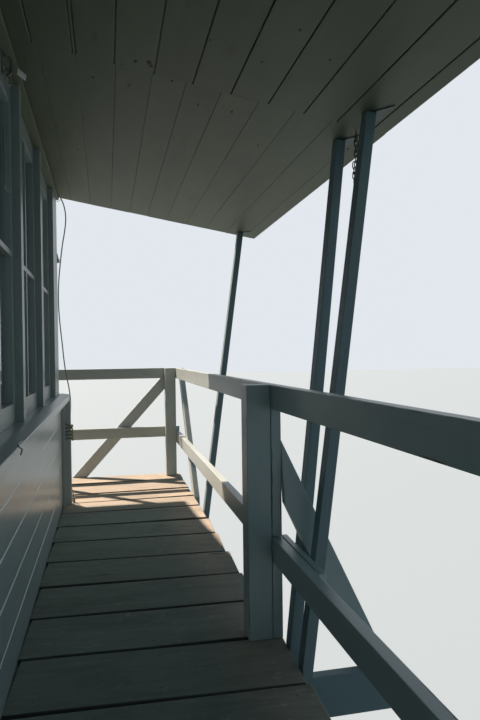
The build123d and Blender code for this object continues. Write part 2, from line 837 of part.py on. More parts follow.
# Rails: two boards to a side, butted on the middle post; each side laps the end of the next
rail_runs = (
    (-half_deck, mid_post_line - butt_gap),
    (mid_post_line + butt_gap, post_face - butt_gap),
)
with BuildPart() as top_rails:
    with PolarLocations(0, 4):
        for start, end in rail_runs:
            with at(rail_line, (start + end) / 2, rail_height - stud_stock / 2):
                Box(plank, end - start, stud_stock)
top_rails.part.label = "top_rails"
export_step(top_rails.part, "parts/top_rails.step")

with BuildPart() as lower_rails:
    for turn in range(4):
        low_rail = low_rail_side if turn % 2 == 0 else low_rail_end
        with quarter(turn):
            for start, end in rail_runs:
                with at(rail_line, (start + end) / 2, low_rail - stud_stock / 2):
                    Box(plank, end - start, stud_stock)
lower_rails.part.label = "lower_rails"
export_step(lower_rails.part, "parts/lower_rails.step")

# Filler cleats outside each middle post, above and below the lower rail
with BuildPart() as post_cleats:
    for turn in range(4):
        low_rail = low_rail_side if turn % 2 == 0 else low_rail_end
        with quarter(turn):
            for start, end in ((0, low_rail - stud_stock), (low_rail, rail_height - stud_stock)):
                with at(rail_line, mid_post_line, (start + end) / 2):
                    Box(plank, stud_stock, end - start)
post_cleats.part.label = "post_cleats"
export_step(post_cleats.part, "parts/post_cleats.step")

# Corner braces: planks outside the rails, from the head of a corner post down to the rim
brace_out = Plane(origin=(half_deck, 0, deck_height), x_dir=(0, 1, 0), z_dir=(1, 0, 0))
corner_angle = degrees(atan(corner_brace_rise / corner_brace_run))
with BuildPart() as corner_brace:
    with BuildSketch(brace_out):
        with Locations((half_cab + corner_brace_foot + corner_brace_run / 2, corner_brace_rise / 2)):
            Rectangle(2 * corner_brace_rise, stud_stock, rotation=corner_angle)
        with Locations((half_cab + walk_width / 2, (rail_height - outrigger_depth) / 2)):
            Rectangle(walk_width, rail_height + outrigger_depth, mode=Mode.INTERSECT)
    extrude(amount=plank)
with BuildPart() as rail_braces:
    with PolarLocations(0, 4):
        add(corner_brace.part)
        add(mirror(corner_brace.part, about=Plane.XZ, mode=Mode.PRIVATE))
rail_braces.part.label = "rail_braces"
export_step(rail_braces.part, "parts/rail_braces.step")

# Knee braces: from the end of each outrigger up to the cleat on the middle post
knee_top = Vector(half_deck, mid_post_line - knee_head_shift, deck_height + knee_head)
knee_low = Vector(outrigger_end - knee_foot_inset, outrigger_line + plank, deck_height + knee_foot)
outrigger_side = Plane(origin=(0, outrigger_line + plank / 2, 0), x_dir=(-1, 0, 0), z_dir=(0, 1, 0))
with BuildPart(bar_plane(knee_low, knee_top)) as knee:
    Box(1.6 * (knee_top - knee_low).length, stud_stock, plank)
    split(bisect_by=rim_side, keep=Keep.TOP)
    split(bisect_by=outrigger_side, keep=Keep.TOP)
    split(bisect_by=Plane.XY.offset(joist_top - outrigger_depth), keep=Keep.TOP)
with BuildPart() as knee_braces:
    with PolarLocations(0, 4):
        add(knee.part)
knee_braces.part.label = "knee_braces"
export_step(knee_braces.part, "parts/knee_braces.step")

# Lightning wire: from the north header down past the sill to the deck, in runs joined by arcs
wire_points = [Vector(half_cab + x, half_cab + y, deck_height + z) for x, y, z in wire_route]
wire_runs = [b - a for a, b in zip(wire_points, wire_points[1:])]
wire_radii = []
for before, after in zip(wire_runs, wire_runs[1:]):
    half_turn = radians(before.get_angle(after)) / 2
    wire_radii.append(wire_ease * min(before.length, after.length) / tan(half_turn))
with BuildPart() as ground_wire:
    with BuildLine() as wire_path:
        FilletPolyline(*wire_points, radius=wire_radii)
    with BuildSketch(Plane(origin=wire_points[0], z_dir=wire_runs[0])) as wire_section:
        RegularPolygon(wire_diameter / 2, wire_sides)
    sweep(path=wire_path.wires()[0])
ground_wire.part.label = "ground_wire"
export_step(ground_wire.part, "parts/ground_wire.step")
wire_length = wire_path.wires()[0].length
print("wire length", round(wire_length), "least radius", round(min(wire_radii)))
print("wire volume", round(ground_wire.part.volume), "of", round(wire_length * wire_section.sketch.area))
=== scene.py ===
import math

import bpy
import numpy as np
from mathutils import Matrix, Vector


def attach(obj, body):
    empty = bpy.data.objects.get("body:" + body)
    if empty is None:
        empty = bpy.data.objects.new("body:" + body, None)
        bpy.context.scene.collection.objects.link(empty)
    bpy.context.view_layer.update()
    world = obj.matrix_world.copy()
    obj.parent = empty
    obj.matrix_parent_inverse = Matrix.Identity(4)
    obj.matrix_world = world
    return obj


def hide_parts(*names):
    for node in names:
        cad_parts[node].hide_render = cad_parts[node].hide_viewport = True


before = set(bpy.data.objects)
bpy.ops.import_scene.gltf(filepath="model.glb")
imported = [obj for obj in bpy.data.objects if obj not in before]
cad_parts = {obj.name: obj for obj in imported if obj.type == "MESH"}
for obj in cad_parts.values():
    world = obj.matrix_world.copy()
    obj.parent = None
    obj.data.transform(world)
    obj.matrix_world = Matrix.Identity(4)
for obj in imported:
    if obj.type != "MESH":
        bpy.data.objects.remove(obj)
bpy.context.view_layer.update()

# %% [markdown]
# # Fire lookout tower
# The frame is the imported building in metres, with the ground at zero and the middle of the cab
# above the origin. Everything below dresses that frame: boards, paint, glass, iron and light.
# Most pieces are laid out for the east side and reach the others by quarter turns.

deck = 3.660  # top of the walk, over the ground
half_cab = 2.1335  # from the middle of the cab to the outer face of its walls
walk = 0.914  # width of the walk
half_deck = half_cab + walk
plank = 0.038  # thickness of decking, rim boards and braces
wall_top = 0.720  # height of the walls below the windows, over the walk
bay = 0.7462  # spacing of the windows
mullion = 0.064  # width of a mullion between two windows
hinge_height = 2.115  # hinge line of the shutters, over the walk
low_rail_top, top_rail_top, rail_wide = 0.367, 0.914, 0.089  # guard rails, over the walk
sides = ("east", "north", "west", "south")
east, north, up_z = np.eye(3)
corner = np.array([half_cab, half_cab, deck])  # foot of the cab's north-east corner
rng = np.random.default_rng(11)


# %% [markdown]
# ## Camera
# The picture is taken on the east walk, near its south end, and looks along it to the north.
# The place, turn and lens come from a fit of the walk's seams, posts and shutters to the picture.

# %% Camera
def placed(name, data):
    """An object of this data, put into the scene."""
    thing = bpy.data.objects.new(name, data)
    bpy.context.collection.objects.link(thing)
    return thing


eye = np.array([2.4418, -2.1655, 4.6837])
yaw, pitch, roll = 0.2187, -0.0097, -0.0127  # radians: right of north, up, clockwise
focal_pixels, picture_tall, sensor_tall = 598.1, 720, 36.0
forward = np.array([
    math.sin(yaw) * math.cos(pitch), math.cos(yaw) * math.cos(pitch), math.sin(pitch)])
level = np.array([math.cos(yaw), -math.sin(yaw), 0.0])
upright = np.cross(level, forward)
right = level * math.cos(roll) + upright * math.sin(roll)
above = upright * math.cos(roll) - level * math.sin(roll)
lens = bpy.data.cameras.new("walk_camera")
lens.sensor_fit = "VERTICAL"
lens.sensor_height = sensor_tall
lens.lens = focal_pixels / picture_tall * sensor_tall
lens.clip_start = 0.02
lens.clip_end = 400.0
camera = placed("walk_camera", lens)
turn = np.eye(4)
turn[:3, 0], turn[:3, 1], turn[:3, 2], turn[:3, 3] = right, above, -forward, eye
camera.matrix_world = Matrix(turn.tolist())
bpy.context.scene.camera = camera
print("lens", round(lens.lens, 2), "mm")


# %% [markdown]
# ## Tools for boards
# Nearly everything here is sawn timber. One tool makes a set of boards with eased edges, and
# another takes the solids of a node with compound cuts. Both keep, on each point, its place in
# its own board, so that grain, knots and worn edges follow the board and not the building.

# %% Board tools
def turned(points, quarter):
    """Points of the east side, turned by quarter turns to the north, west and south sides."""
    points = np.asarray(points, float)
    c, s = [(1, 0), (0, 1), (-1, 0), (0, -1)][quarter]
    return np.stack([c * points[..., 0] - s * points[..., 1],
                     s * points[..., 0] + c * points[..., 1], points[..., 2]], -1)


def unit(v):
    """Vectors scaled to a length of one."""
    return v / np.linalg.norm(v, axis=-1, keepdims=True)


def circles(first, second, count):
    """Circles cos(a) * first + sin(a) * second, of so many points, for rows of directions."""
    a = np.arange(count)[:, None] * 2 * np.pi / count
    return np.cos(a) * first[:, None] + np.sin(a) * second[:, None]


def piece(name, verts, faces, look, slot, **marks):
    """A mesh object that rides on the building; marks are point attributes, 3 or 1 numbers each."""
    mesh = bpy.data.meshes.new(name)
    mesh.from_pydata(np.asarray(verts).tolist(), [], faces)
    for key, data in marks.items():
        data = np.asarray(data, np.float32)
        kind, field = ("FLOAT_VECTOR", "vector") if data.ndim == 2 else ("FLOAT", "value")
        mesh.attributes.new(key, kind, "POINT").data.foreach_set(field, data.ravel())
    mesh.materials.append(look)
    thing = placed(name, mesh)
    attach(thing, "root")
    return thing


def stacked(count, rings):
    """Faces, seen from outside, of a closed solid of rings that each turn left round the stack."""
    walls = [(r * count + k, r * count + (k + 1) % count, (r + 1) * count + (k + 1) % count,
              (r + 1) * count + k) for r in range(rings - 1) for k in range(count)]
    return walls + [tuple(reversed(range(count))), tuple(range((rings - 1) * count, rings * count))]


def copies(faces, points, n):
    """The faces of one small solid of so many points, repeated for n of them."""
    return [tuple(v + points * i for v in face) for i in range(n) for face in faces]


def boards(name, centre, along, across, size, look, slot, edge=0.002, cuts=0, warp=0.0):
    """Boards with eased edges. Each has a centre, two unit directions and length, width, thickness.

    The section is a box of half sizes W, T with its corners cut off by `edge`, swept from -L to L.
    A bow of warp * sin(pi * (s + 1) * k) bends it a little, with s from -1 to 1 along the board.
    """
    centre = np.atleast_2d(centre).astype(float)
    n = len(centre)
    along, across, size = (
        np.broadcast_to(np.asarray(v, float), (n, 3)) for v in (along, across, size))
    up = np.cross(along, across)
    half = size / 2
    cut = np.minimum(edge, 0.45 * half[:, 1:].min(1))
    s = np.concatenate([[-1, -1], np.linspace(-1, 1, cuts + 2)[1:-1], [1, 1]])
    x = s * half[:, :1]
    x[:, 1] += cut
    x[:, -2] -= cut
    w, t, e = half[:, 1:2], half[:, 2:3], cut[:, None]
    ring_b = np.hstack([w, w, w - e, -w + e, -w, -w, -w + e, w - e])
    ring_t = np.hstack([-t + e, t - e, t, t, t - e, -t + e, -t, -t])
    b = np.repeat(ring_b[:, None, :], len(s), 1)
    h = np.repeat(ring_t[:, None, :], len(s), 1)
    for end in (0, -1):
        b[:, end] *= 1 - e / w
        h[:, end] *= 1 - e / t
    seed = rng.random(n)
    bow = np.sin(np.pi * (s[None] + 1) * (0.6 + seed[:, None])) * warp * rng.uniform(-1, 1, (n, 1))
    x = np.repeat(x[:, :, None], 8, 2)
    place = (centre[:, None, None] + x[..., None] * along[:, None, None]
             + b[..., None] * across[:, None, None]
             + (h + bow[..., None])[..., None] * up[:, None, None])
    grain = np.stack([x, b, h], -1)
    each = 8 * len(s)
    return piece(name, place.reshape(-1, 3), copies(stacked(8, len(s)), each, n), look, slot,
                 grain=grain.reshape(-1, 3), half=np.repeat(half, each, 0),
                 seed=np.repeat(seed, each))


def islands(count, tris):
    """A label for each point, the same all over one closed solid."""
    label = np.arange(count)
    while True:
        low = label.copy()
        np.minimum.at(low, tris.ravel(), np.repeat(label[tris].min(1), 3))
        low = low[low]
        if (low == label).all():
            return label
        label = low


def board_axes(a, b, c):
    """Axes along, across and through a solid of triangles a, b, c.

    The grain runs where the faces' normals point least: along the smallest eigenvector of the
    sum of area * n n^T. The board's thickness is then taken square to its broadest face.
    """
    n = np.cross(b - a, c - a)
    area = np.linalg.norm(n, axis=1) + 1e-12
    run = np.linalg.eigh((n / area[:, None]).T @ n)[1][:, 0]
    broad = unit(n[np.argmax(area - 2 * np.abs(n @ run))])
    run = unit(run - broad * (run @ broad))
    return np.stack([run, np.cross(broad, run), broad])


def dress(name, nodes, look, slot, edge=0.002, inset=0.0):
    """The solids of these nodes as timber with rounded edges, each in its own axes.

    Each solid shrinks by the inset all round, so that a thin dark joint shows where two meet.
    """
    start, parts = 0, []
    for node in nodes:
        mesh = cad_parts[node].data
        co = np.empty(len(mesh.vertices) * 3)
        mesh.vertices.foreach_get("co", co)
        mesh.calc_loop_triangles()
        tris = np.empty(len(mesh.loop_triangles) * 3, int)
        mesh.loop_triangles.foreach_get("vertices", tris)
        keys, back = np.unique(np.round(co.reshape(-1, 3), 5), axis=0, return_inverse=True)
        tris = back.reshape(-1)[tris].reshape(-1, 3)
        label = islands(len(keys), tris)
        grain, half, seed = np.zeros_like(keys), np.zeros_like(keys), np.zeros(len(keys))
        for one in np.unique(label):
            mine = np.flatnonzero(label == one)
            axes = board_axes(*(keys[tris[label[tris[:, 0]] == one][:, i]] for i in range(3)))
            local = keys[mine] @ axes.T
            low, high = local.min(0), local.max(0)
            middle, reach = (low + high) / 2, (high - low) / 2
            local = (local - middle) * (1 - inset / reach)
            keys[mine] = (local + middle) @ axes
            grain[mine], half[mine], seed[mine] = local, reach - inset, rng.random()
        parts.append((keys, tris + start, grain, half, seed))
        start += len(keys)
    verts, tris, grain, half, seed = (np.concatenate(part) for part in zip(*parts))
    thing = piece(name, verts, tris.tolist(), look, slot, grain=grain, half=half, seed=seed)
    ease = thing.modifiers.new("eased_edges", "BEVEL")
    ease.width = edge
    ease.segments = 2
    ease.limit_method = "ANGLE"
    ease.angle_limit = math.radians(30)
    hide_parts(*nodes)
    return thing


print("a board has", len(stacked(8, 4)), "faces")


# %% [markdown]
# ## Materials
# Every look is a small tree of shader nodes. These helpers add and link them, so that a look
# reads like a formula, and most colours are given as they show on a screen.

# %% Material tools
def add_node(tree, kind, ins=(), out=0, **settings):
    """Adds a node, sets or links its inputs from a dict, and returns one of its outputs."""
    item = tree.nodes.new(kind)
    for key, value in settings.items():
        setattr(item, key, value)
    for key, value in dict(ins).items():
        if isinstance(value, bpy.types.NodeSocket):
            tree.links.new(value, item.inputs[key])
        else:
            item.inputs[key].default_value = value
    return item.outputs[out]


def calc(tree, kind, a, b=0.0):
    """One Math node on one or two numbers."""
    return add_node(tree, "ShaderNodeMath", {0: a, 1: b}, operation=kind)


def weighed(tree, a, by_a, b, by_b):
    """The sum a * by_a + b * by_b."""
    return calc(tree, "ADD", calc(tree, "MULTIPLY", a, by_a), calc(tree, "MULTIPLY", b, by_b))


def blend(tree, fac, a, b, kind="MIX"):
    """A colour between a and b, or another blend of the two."""
    return add_node(tree, "ShaderNodeMix", {0: fac, 6: a, 7: b}, 2, data_type="RGBA",
                    blend_type=kind)


def step(tree, value, low, high, to_low=0.0, to_high=1.0):
    """A smooth step of value from low to high."""
    return add_node(tree, "ShaderNodeMapRange", {0: value, 1: low, 2: high, 3: to_low, 4: to_high},
                    interpolation_type="SMOOTHSTEP")


def noise(tree, place, scale, detail=3.0, rough=0.55, bend=0.0):
    """A noise of about 0 to 1 on a vector."""
    return add_node(tree, "ShaderNodeTexNoise", {
        "Vector": place, "Scale": scale, "Detail": detail, "Roughness": rough, "Distortion": bend})


def stretch(tree, vector, x, y, z):
    """A vector scaled by x, y, z."""
    return add_node(tree, "ShaderNodeMapping", {0: vector, 3: (x, y, z)})


def axis(tree, vector, i):
    """One of the three numbers of a vector."""
    return add_node(tree, "ShaderNodeSeparateXYZ", {0: vector}, i)


def here(tree):
    """The Object coordinates, which are also the building's, as no object is moved or turned."""
    return add_node(tree, "ShaderNodeTexCoord", out=3)


def bump(tree, shader, height, strength, distance):
    """Gives the shader a bump from a height."""
    tree.links.new(add_node(tree, "ShaderNodeBump", {
        "Height": height, "Strength": strength, "Distance": distance}), shader.inputs["Normal"])


def new_look(name, roughness, metallic=0.0):
    """A material with one Principled shader; returns the material, its tree and the shader."""
    look = bpy.data.materials.new(name)
    look.use_nodes = True
    shader = look.node_tree.nodes["Principled BSDF"]
    shader.inputs["Roughness"].default_value = roughness
    shader.inputs["Metallic"].default_value = metallic
    return look, look.node_tree, shader


def colour(r, g, b):
    """A colour from screen values of 0 to 255, as the shader wants it."""
    v = np.array([r, g, b]) / 255
    lin = np.where(v <= 0.04045, v / 12.92, ((v + 0.055) / 1.055) ** 2.4)
    return (*lin.tolist(), 1.0)


def scaled(tone, by):
    """A colour made so many times as light."""
    return tuple(min(1.0, by * v) for v in tone[:3]) + (1.0,)


def tint(tree, shader, fac, dark, light):
    """Gives the shader a colour between two, which are in screen values."""
    tree.links.new(blend(tree, fac, colour(*dark), colour(*light)), shader.inputs["Base Color"])


def mottled(name, roughness, metallic, scale, detail, dark, light):
    """A look of two colours mixed by one noise."""
    look, tree, shader = new_look(name, roughness, metallic)
    tint(tree, shader, noise(tree, here(tree), scale, detail), dark, light)
    return look


print("middle grey is", round(colour(128, 128, 128)[0], 3), "to a shader")


# %% [markdown]
# The lookout is painted a pale grey white that has gone chalky and worn to bare wood on edges.
# A picture would repeat from board to board, so timber is built from fibres, figure and knots on
# each board's own coordinates. Paint is laid over them and lost where a noise, the fibres and
# the nearness of an edge add up.

# %% Timber looks
def board_fields(tree):
    """What the attributes tell: own place and seed, height b in the board, and two distances.

    With W, T the half width and half thickness, joint = W - |b| is the distance to a long side,
    and near = W - |b| + T - |h| is zero on an arris.
    """
    grain = add_node(tree, "ShaderNodeAttribute", out=1, attribute_name="grain")
    half = add_node(tree, "ShaderNodeAttribute", out=1, attribute_name="half")
    seed = add_node(tree, "ShaderNodeAttribute", out=2, attribute_name="seed")
    apart = add_node(tree, "ShaderNodeCombineXYZ", {
        i: calc(tree, "MULTIPLY", seed, shift) for i, shift in enumerate((31.0, 17.0, 53.0))})
    place = add_node(tree, "ShaderNodeVectorMath", {0: grain, 1: apart}, operation="ADD")
    b, h, wide, thick = (axis(tree, v, i) for v in (grain, half) for i in (1, 2))
    joint = calc(tree, "SUBTRACT", wide, calc(tree, "ABSOLUTE", b))
    near = calc(tree, "ADD", joint, calc(tree, "SUBTRACT", thick, calc(tree, "ABSOLUTE", h)))
    return place, seed, h, joint, near


def stained(tree, wood, place, dark, light, stain):
    """Wood with dark clouds and small pale scuffs."""
    cloud = noise(tree, stretch(tree, place, 2.0, 6.0, 6.0), 1.0, 5.0, 0.65)
    wood = blend(tree, step(tree, cloud, 0.42, 0.72, 0.0, stain), wood, scaled(dark, 0.45))
    scuff = noise(tree, stretch(tree, place, 22.0, 38.0, 38.0), 1.0, 5.0, 0.72)
    return blend(tree, step(tree, scuff, 0.57, 0.66, 0.0, 0.8 * stain), wood, scaled(light, 1.5))


def painted_sun_and_shade(tree, wood):
    """Painted sunlight and shade: wood is tinted cool and dark under the shutters, where shade
    falls, and paler and warmer at the open corners and outer edges, where the sun falls.

    The corners lie where min(|x|, |y|) is more than the half cab, the edges where max(|x|, |y|)
    nears the half deck.
    """
    x_off, y_off = (calc(tree, "ABSOLUTE", axis(tree, here(tree), i)) for i in (0, 1))
    painted_sun_mask = calc(tree, "MAXIMUM", step(tree, calc(tree, "MINIMUM", x_off, y_off), 1.75, 2.15),
                  step(tree, calc(tree, "MAXIMUM", x_off, y_off), 2.72, 2.96))
    painted_shade_wood = blend(tree, 1.0, wood, (0.62, 0.80, 0.86, 1), "MULTIPLY")
    painted_sunlit_wood = add_node(tree, "ShaderNodeVectorMath", {0: wood, 1: (1.36, 1.24, 1.26)},
                        operation="MULTIPLY")
    return blend(tree, painted_sun_mask, painted_shade_wood, painted_sunlit_wood)


def painted(tree, place, fibre, knot, rise, near, dark, paint, top, wear, edge_wear, knots, dirt,
            streak):
    """A coat of paint with dirt, knots and fibres showing, and how far it still covers.

    Paint is lost where patches + 0.35 * fibres + nearness of an edge pass 1.27 - wear.
    """
    rim = step(tree, near, 0.0, 0.012, edge_wear, 0.0)
    patch = noise(tree, stretch(tree, place, 3.0, 22.0, 22.0), 1.0, 6.0, 0.7)
    lost = calc(tree, "ADD", weighed(tree, fibre, 0.35, patch, 1.0), rim)
    cover = step(tree, lost, 1.32 - wear, 1.22 - wear)
    cloud = noise(tree, stretch(tree, place, 1.2, 5.0, 5.0), 1.0, 4.0, 0.6)
    # Upper faces take the top colour and lower ones the paint colour; on the shutters that lower
    # colour is painted shade.
    if top is not None:
        paint = blend(tree, step(tree, rise, 0.0, 0.004), paint, top)
    coat = blend(tree, step(tree, cloud, 0.35, 0.75, 0.0, dirt), paint,
                 blend(tree, 1.0, paint, (0.55, 0.55, 0.55, 1), "MULTIPLY"))
    coat = blend(tree, calc(tree, "MULTIPLY", knot, 0.35 * knots), coat, dark)
    return blend(tree, step(tree, fibre, 0.52, 0.70, 0.0, streak), coat, dark), cover


def timber(name, dark, light, paint=None, wear=0.4, edge_wear=0.5, spread=0.10, knots=0.5,
           dirt=0.3, fine=1.0, paint_rough=0.55, joint_shade=0.0, soft=0.14, stain=0.0, streak=0.16,
           top=None, paint_sun_and_shade=False):
    """Sawn timber with or without paint, on the attributes grain, half and seed.

    Wood is a smooth step of 0.5 * fibres + 0.5 * figure, with knots from Voronoi cells. Each
    board is lighter or darker by its seed, within the spread. A painted shade darkens the long
    sides and edges of bare boards, as the shade in open joints, and painted sunlight and shade
    can also follow a board's place on the walk. A top colour is that of the upper faces. Colours
    are in screen values.
    """
    look, tree, shader = new_look(name, 0.8)
    dark, light, paint, top = (tone and colour(*tone) for tone in (dark, light, paint, top))
    place, seed, rise, joint, near = board_fields(tree)
    fibre = noise(tree, stretch(tree, place, 4.0, 150.0 * fine, 150.0 * fine), 1.0, 5.0, 0.65)
    figure = noise(tree, stretch(tree, place, 0.9, 16.0, 16.0), 1.0, 4.0, 0.6, 1.2)
    cell = add_node(tree, "ShaderNodeTexVoronoi", {
        "Vector": stretch(tree, place, 2.0, 7.5, 7.5), "Scale": 1.0, "Randomness": 1.0})
    knot = step(tree, cell, 0.03, 0.13, 1.0, 0.0)
    band = weighed(tree, fibre, 0.5, figure, 0.5)
    wood = blend(tree, step(tree, band, 0.5 - soft, 0.5 + soft), dark, light)
    if stain:
        wood = stained(tree, wood, place, dark, light, stain)
    # Painted sunlight at the open corners and edges, and painted shade under the shutters.
    if paint_sun_and_shade:
        wood = painted_sun_and_shade(tree, wood)
    wood = blend(tree, calc(tree, "MULTIPLY", knot, knots), wood, scaled(dark, 0.35))
    height = weighed(tree, fibre, 0.7, figure, 0.3)
    if paint is None:
        # Painted shade: the long sides of a bare board turn nearly black, as shade in an open
        # joint.
        base = blend(tree, step(tree, joint, 0.001, 0.005, joint_shade, 0.0), wood, scaled(dark, 0.12))
    else:
        coat, cover = painted(tree, place, fibre, knot, rise, near, dark, paint, top, wear,
                              edge_wear, knots, dirt, streak)
        base = blend(tree, cover, wood, coat)
        height = weighed(tree, height, 0.5, cover, 0.5)
        tree.links.new(step(tree, cover, 0.0, 1.0, 0.88, paint_rough), shader.inputs["Roughness"])
    shade = step(tree, seed, 0.0, 1.0, 1.0 - spread, 1.0 + spread)
    base = add_node(tree, "ShaderNodeVectorMath", {0: base, "Scale": shade}, operation="SCALE")
    tree.links.new(base, shader.inputs["Base Color"])
    bump(tree, shader, height, 0.35, 0.0015)
    return look


bare = (96, 94, 88), (158, 152, 140)
white_paint = timber("white_paint_look", *bare, (202, 207, 205), wear=0.24, edge_wear=0.10,
                     spread=0.03, knots=0.3, dirt=0.25, paint_rough=0.28, streak=0.10)
# A darker copy of the white paint, as painted shade on the frames and sashes under the shutters.
frame_paint_shaded = timber("frame_paint_shaded_look", *bare, (176, 182, 178), wear=0.26, edge_wear=0.12,
                     spread=0.03, knots=0.3, paint_rough=0.36)
rail_paint = timber("rail_paint_look", *bare, (200, 206, 204), wear=0.30, edge_wear=0.22,
                    spread=0.05, knots=0.4, paint_rough=0.36, streak=0.06)
# A darker copy of the rail paint, as painted shade on the struts and outriggers; the rim and fascia
# boards share it.
strut_paint_shaded = timber("strut_paint_shaded_look", *bare, (136, 153, 157), wear=0.28, edge_wear=0.16,
                     spread=0.05, knots=0.4)
# Painted shade: the shutters' lower faces and the headers take a dark olive for the shade under the
# raised shutters, while their upper faces get the pale grey paint of top.
shutter_paint_and_shade = timber("shutter_paint_and_shade_look", (62, 58, 46), (100, 97, 80),
                       (112, 118, 94), wear=0.27, edge_wear=0.14, spread=0.06, knots=0.8,
                       dirt=0.45, top=(168, 172, 166))
lining_paint = timber("lining_look", *bare, (150, 148, 136), wear=0.25, edge_wear=0.05)
# The deck carries painted sunlight and shade by its place, and painted shade in its open joints.
deck_wood = timber("deck_look", (138, 132, 120), (182, 172, 154), spread=0.07,
                   knots=0.6, fine=0.6, joint_shade=0.95, soft=0.45, stain=0.45, paint_sun_and_shade=True)
floor_wood = timber("floor_look", (70, 62, 54), (120, 108, 94), (112, 110, 104),
                    wear=0.4, edge_wear=0.1)
tower_wood = timber("tower_look", (72, 58, 44), (128, 108, 86))
shingle_wood = timber("shingle_look", (66, 60, 54), (122, 112, 100), spread=0.22,
                      knots=0.1)
print(len(bpy.data.materials), "materials, with those of the solids")

# %% [markdown]
# Iron rusts in patches, and the wire and small fittings are dull steel. Glass could bend light,
# but thin panes look the same as a faint mirror, and that renders faster. The mirror gains
# strength with the sixth power of how far it turns away from the eye.

# %% Metal, glass and stone
steel_iron = mottled("worn_steel_look", 0.5, 0.6, 70.0, 4.0, (88, 90, 88), (138, 136, 128))
tag_metal = mottled("tag_look", 0.38, 0.9, 90.0, 3.0, (206, 212, 216), (236, 240, 242))
old_cord = mottled("old_cord_look", 0.9, 0.0, 120.0, 4.0, (92, 92, 66), (168, 166, 128))
knot_wood = mottled("knot_look", 0.8, 0.0, 160.0, 5.0, (38, 38, 28), (104, 104, 80))
brass = mottled("brass_look", 0.35, 1.0, 80.0, 4.0, (150, 122, 70), (196, 168, 108))

iron, tree, shader = new_look("iron_look", 0.6, 0.7)
rust = step(tree, noise(tree, here(tree), 60.0, 6.0, 0.7), 0.42, 0.62)
tint(tree, shader, rust, (70, 70, 70), (112, 74, 48))
tree.links.new(step(tree, rust, 0.0, 1.0, 0.45, 0.85), shader.inputs["Roughness"])

painted_iron, tree, shader = new_look("painted_iron_look", 0.5, 0.2)
worn = step(tree, noise(tree, here(tree), 45.0, 6.0, 0.7), 0.60, 0.70)
tint(tree, shader, worn, (92, 102, 106), (98, 72, 52))

wire_steel, tree, shader = new_look("wire_look", 0.45, 0.6)
twist = add_node(tree, "ShaderNodeTexWave", {
    "Vector": here(tree), "Scale": 120.0, "Distortion": 1.0}, wave_type="BANDS",
    bands_direction="DIAGONAL")
tint(tree, shader, twist, (86, 92, 94), (140, 148, 150))

concrete, tree, shader = new_look("concrete_look", 0.9)
cast = noise(tree, here(tree), 6.0, 8.0, 0.7)
tint(tree, shader, cast, (128, 125, 118), (176, 172, 164))
bump(tree, shader, noise(tree, here(tree), 90.0, 6.0, 0.7), 0.5, 0.004)

glass, tree, shader = new_look("glass_look", 0.03, 1.0)
shader.inputs["Base Color"].default_value = colour(214, 224, 224)
shader.inputs["Alpha"].default_value = 0.12  # where the link below is not followed
facing = add_node(tree, "ShaderNodeLayerWeight", {"Blend": 0.5}, 1)
mirror = calc(tree, "MULTIPLY", calc(tree, "POWER", facing, 6.0), 0.7)
tree.links.new(calc(tree, "ADD", mirror, 0.04), shader.inputs["Alpha"])
bump(tree, shader, noise(tree, here(tree), 5.0, 2.0), 0.15, 0.004)

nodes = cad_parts
for name, look in (("window_panes", glass), ("door_knob", brass), ("shutter_hinges", iron),
                   ("strut_brackets", painted_iron), ("footings", concrete),
                   ("roof", shingle_wood), ("hip_caps", shingle_wood)):
    nodes[name].data.materials[0] = look
print(len(bpy.data.materials), "materials by now")


# %% [markdown]
# ## Walk and floor
# The walk is floored with wide bare planks laid across it, nailed to the joists with open seams.
# One slab with painted lines would look flat from this low, so each plank is a board of its own.
# Their widths along the east walk are read from the seams in the picture; the rest follow them.

# %% Walk planks
def lay(start, end, width):
    """Seams from start to end at about that width, each moved a little."""
    count = round((end - start) / width)
    seams = np.linspace(start, end, count + 1)
    seams[1:-1] += rng.uniform(-0.008, 0.008, count - 1)
    return seams


def nail_rows(centre, run, across, size, quarter):
    """Places and normals of two nail heads across each plank, near its ends and its middle."""
    share = np.array([-0.42, 0.0, 0.43]) + rng.uniform(-0.01, 0.01, (len(centre), 3))
    up = np.cross(run, across)
    spots = []
    for off in (-0.33, 0.33):
        x = share * size[:, :1]
        y = (off + rng.uniform(-0.04, 0.04, share.shape)) * size[:, 1:2]
        spots.append(centre[:, None] + x[..., None] * run[:, None] + y[..., None] * across[:, None]
                     + plank / 2 * up[:, None])
    spots = np.concatenate(spots).reshape(-1, 3)
    normals = np.broadcast_to(up[:, None], (len(centre), 3, 3)).reshape(-1, 3)
    return turned(spots, quarter), turned(np.concatenate([normals, normals]), quarter)


def planks(name, wall_seams, rim_seams, quarter, node):
    """Planks between seams that cross the walk, given where they meet the wall and the rim."""
    wall_mid, rim_mid = ((v[1:] + v[:-1]) / 2 for v in (wall_seams, rim_seams))
    width = np.minimum(np.diff(wall_seams), np.diff(rim_seams))
    n = len(width)
    ends = rng.uniform(0.0, 0.006, n)
    run = unit(np.stack([np.full(n, walk), rim_mid - wall_mid, np.zeros(n)], 1))
    across = np.stack([-run[:, 1], run[:, 0], np.zeros(n)], 1)
    centre = np.stack([np.full(n, half_cab + walk / 2) - ends / 2, (wall_mid + rim_mid) / 2,
                       np.full(n, deck - plank / 2) - rng.uniform(0.0, 0.0015, n)], 1)
    size = np.stack([walk - ends - 0.002, width - rng.uniform(0.006, 0.011, n),
                     np.full(n, plank)], 1)
    thing = boards(name, turned(centre, quarter), turned(run, quarter), turned(across, quarter),
                   size, deck_wood, "deck_board", edge=0.004, cuts=5, warp=0.0010)
    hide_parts(node)
    return nail_rows(centre, run, across, size, quarter)


plank_wide, floor_wide = 0.30, 0.133
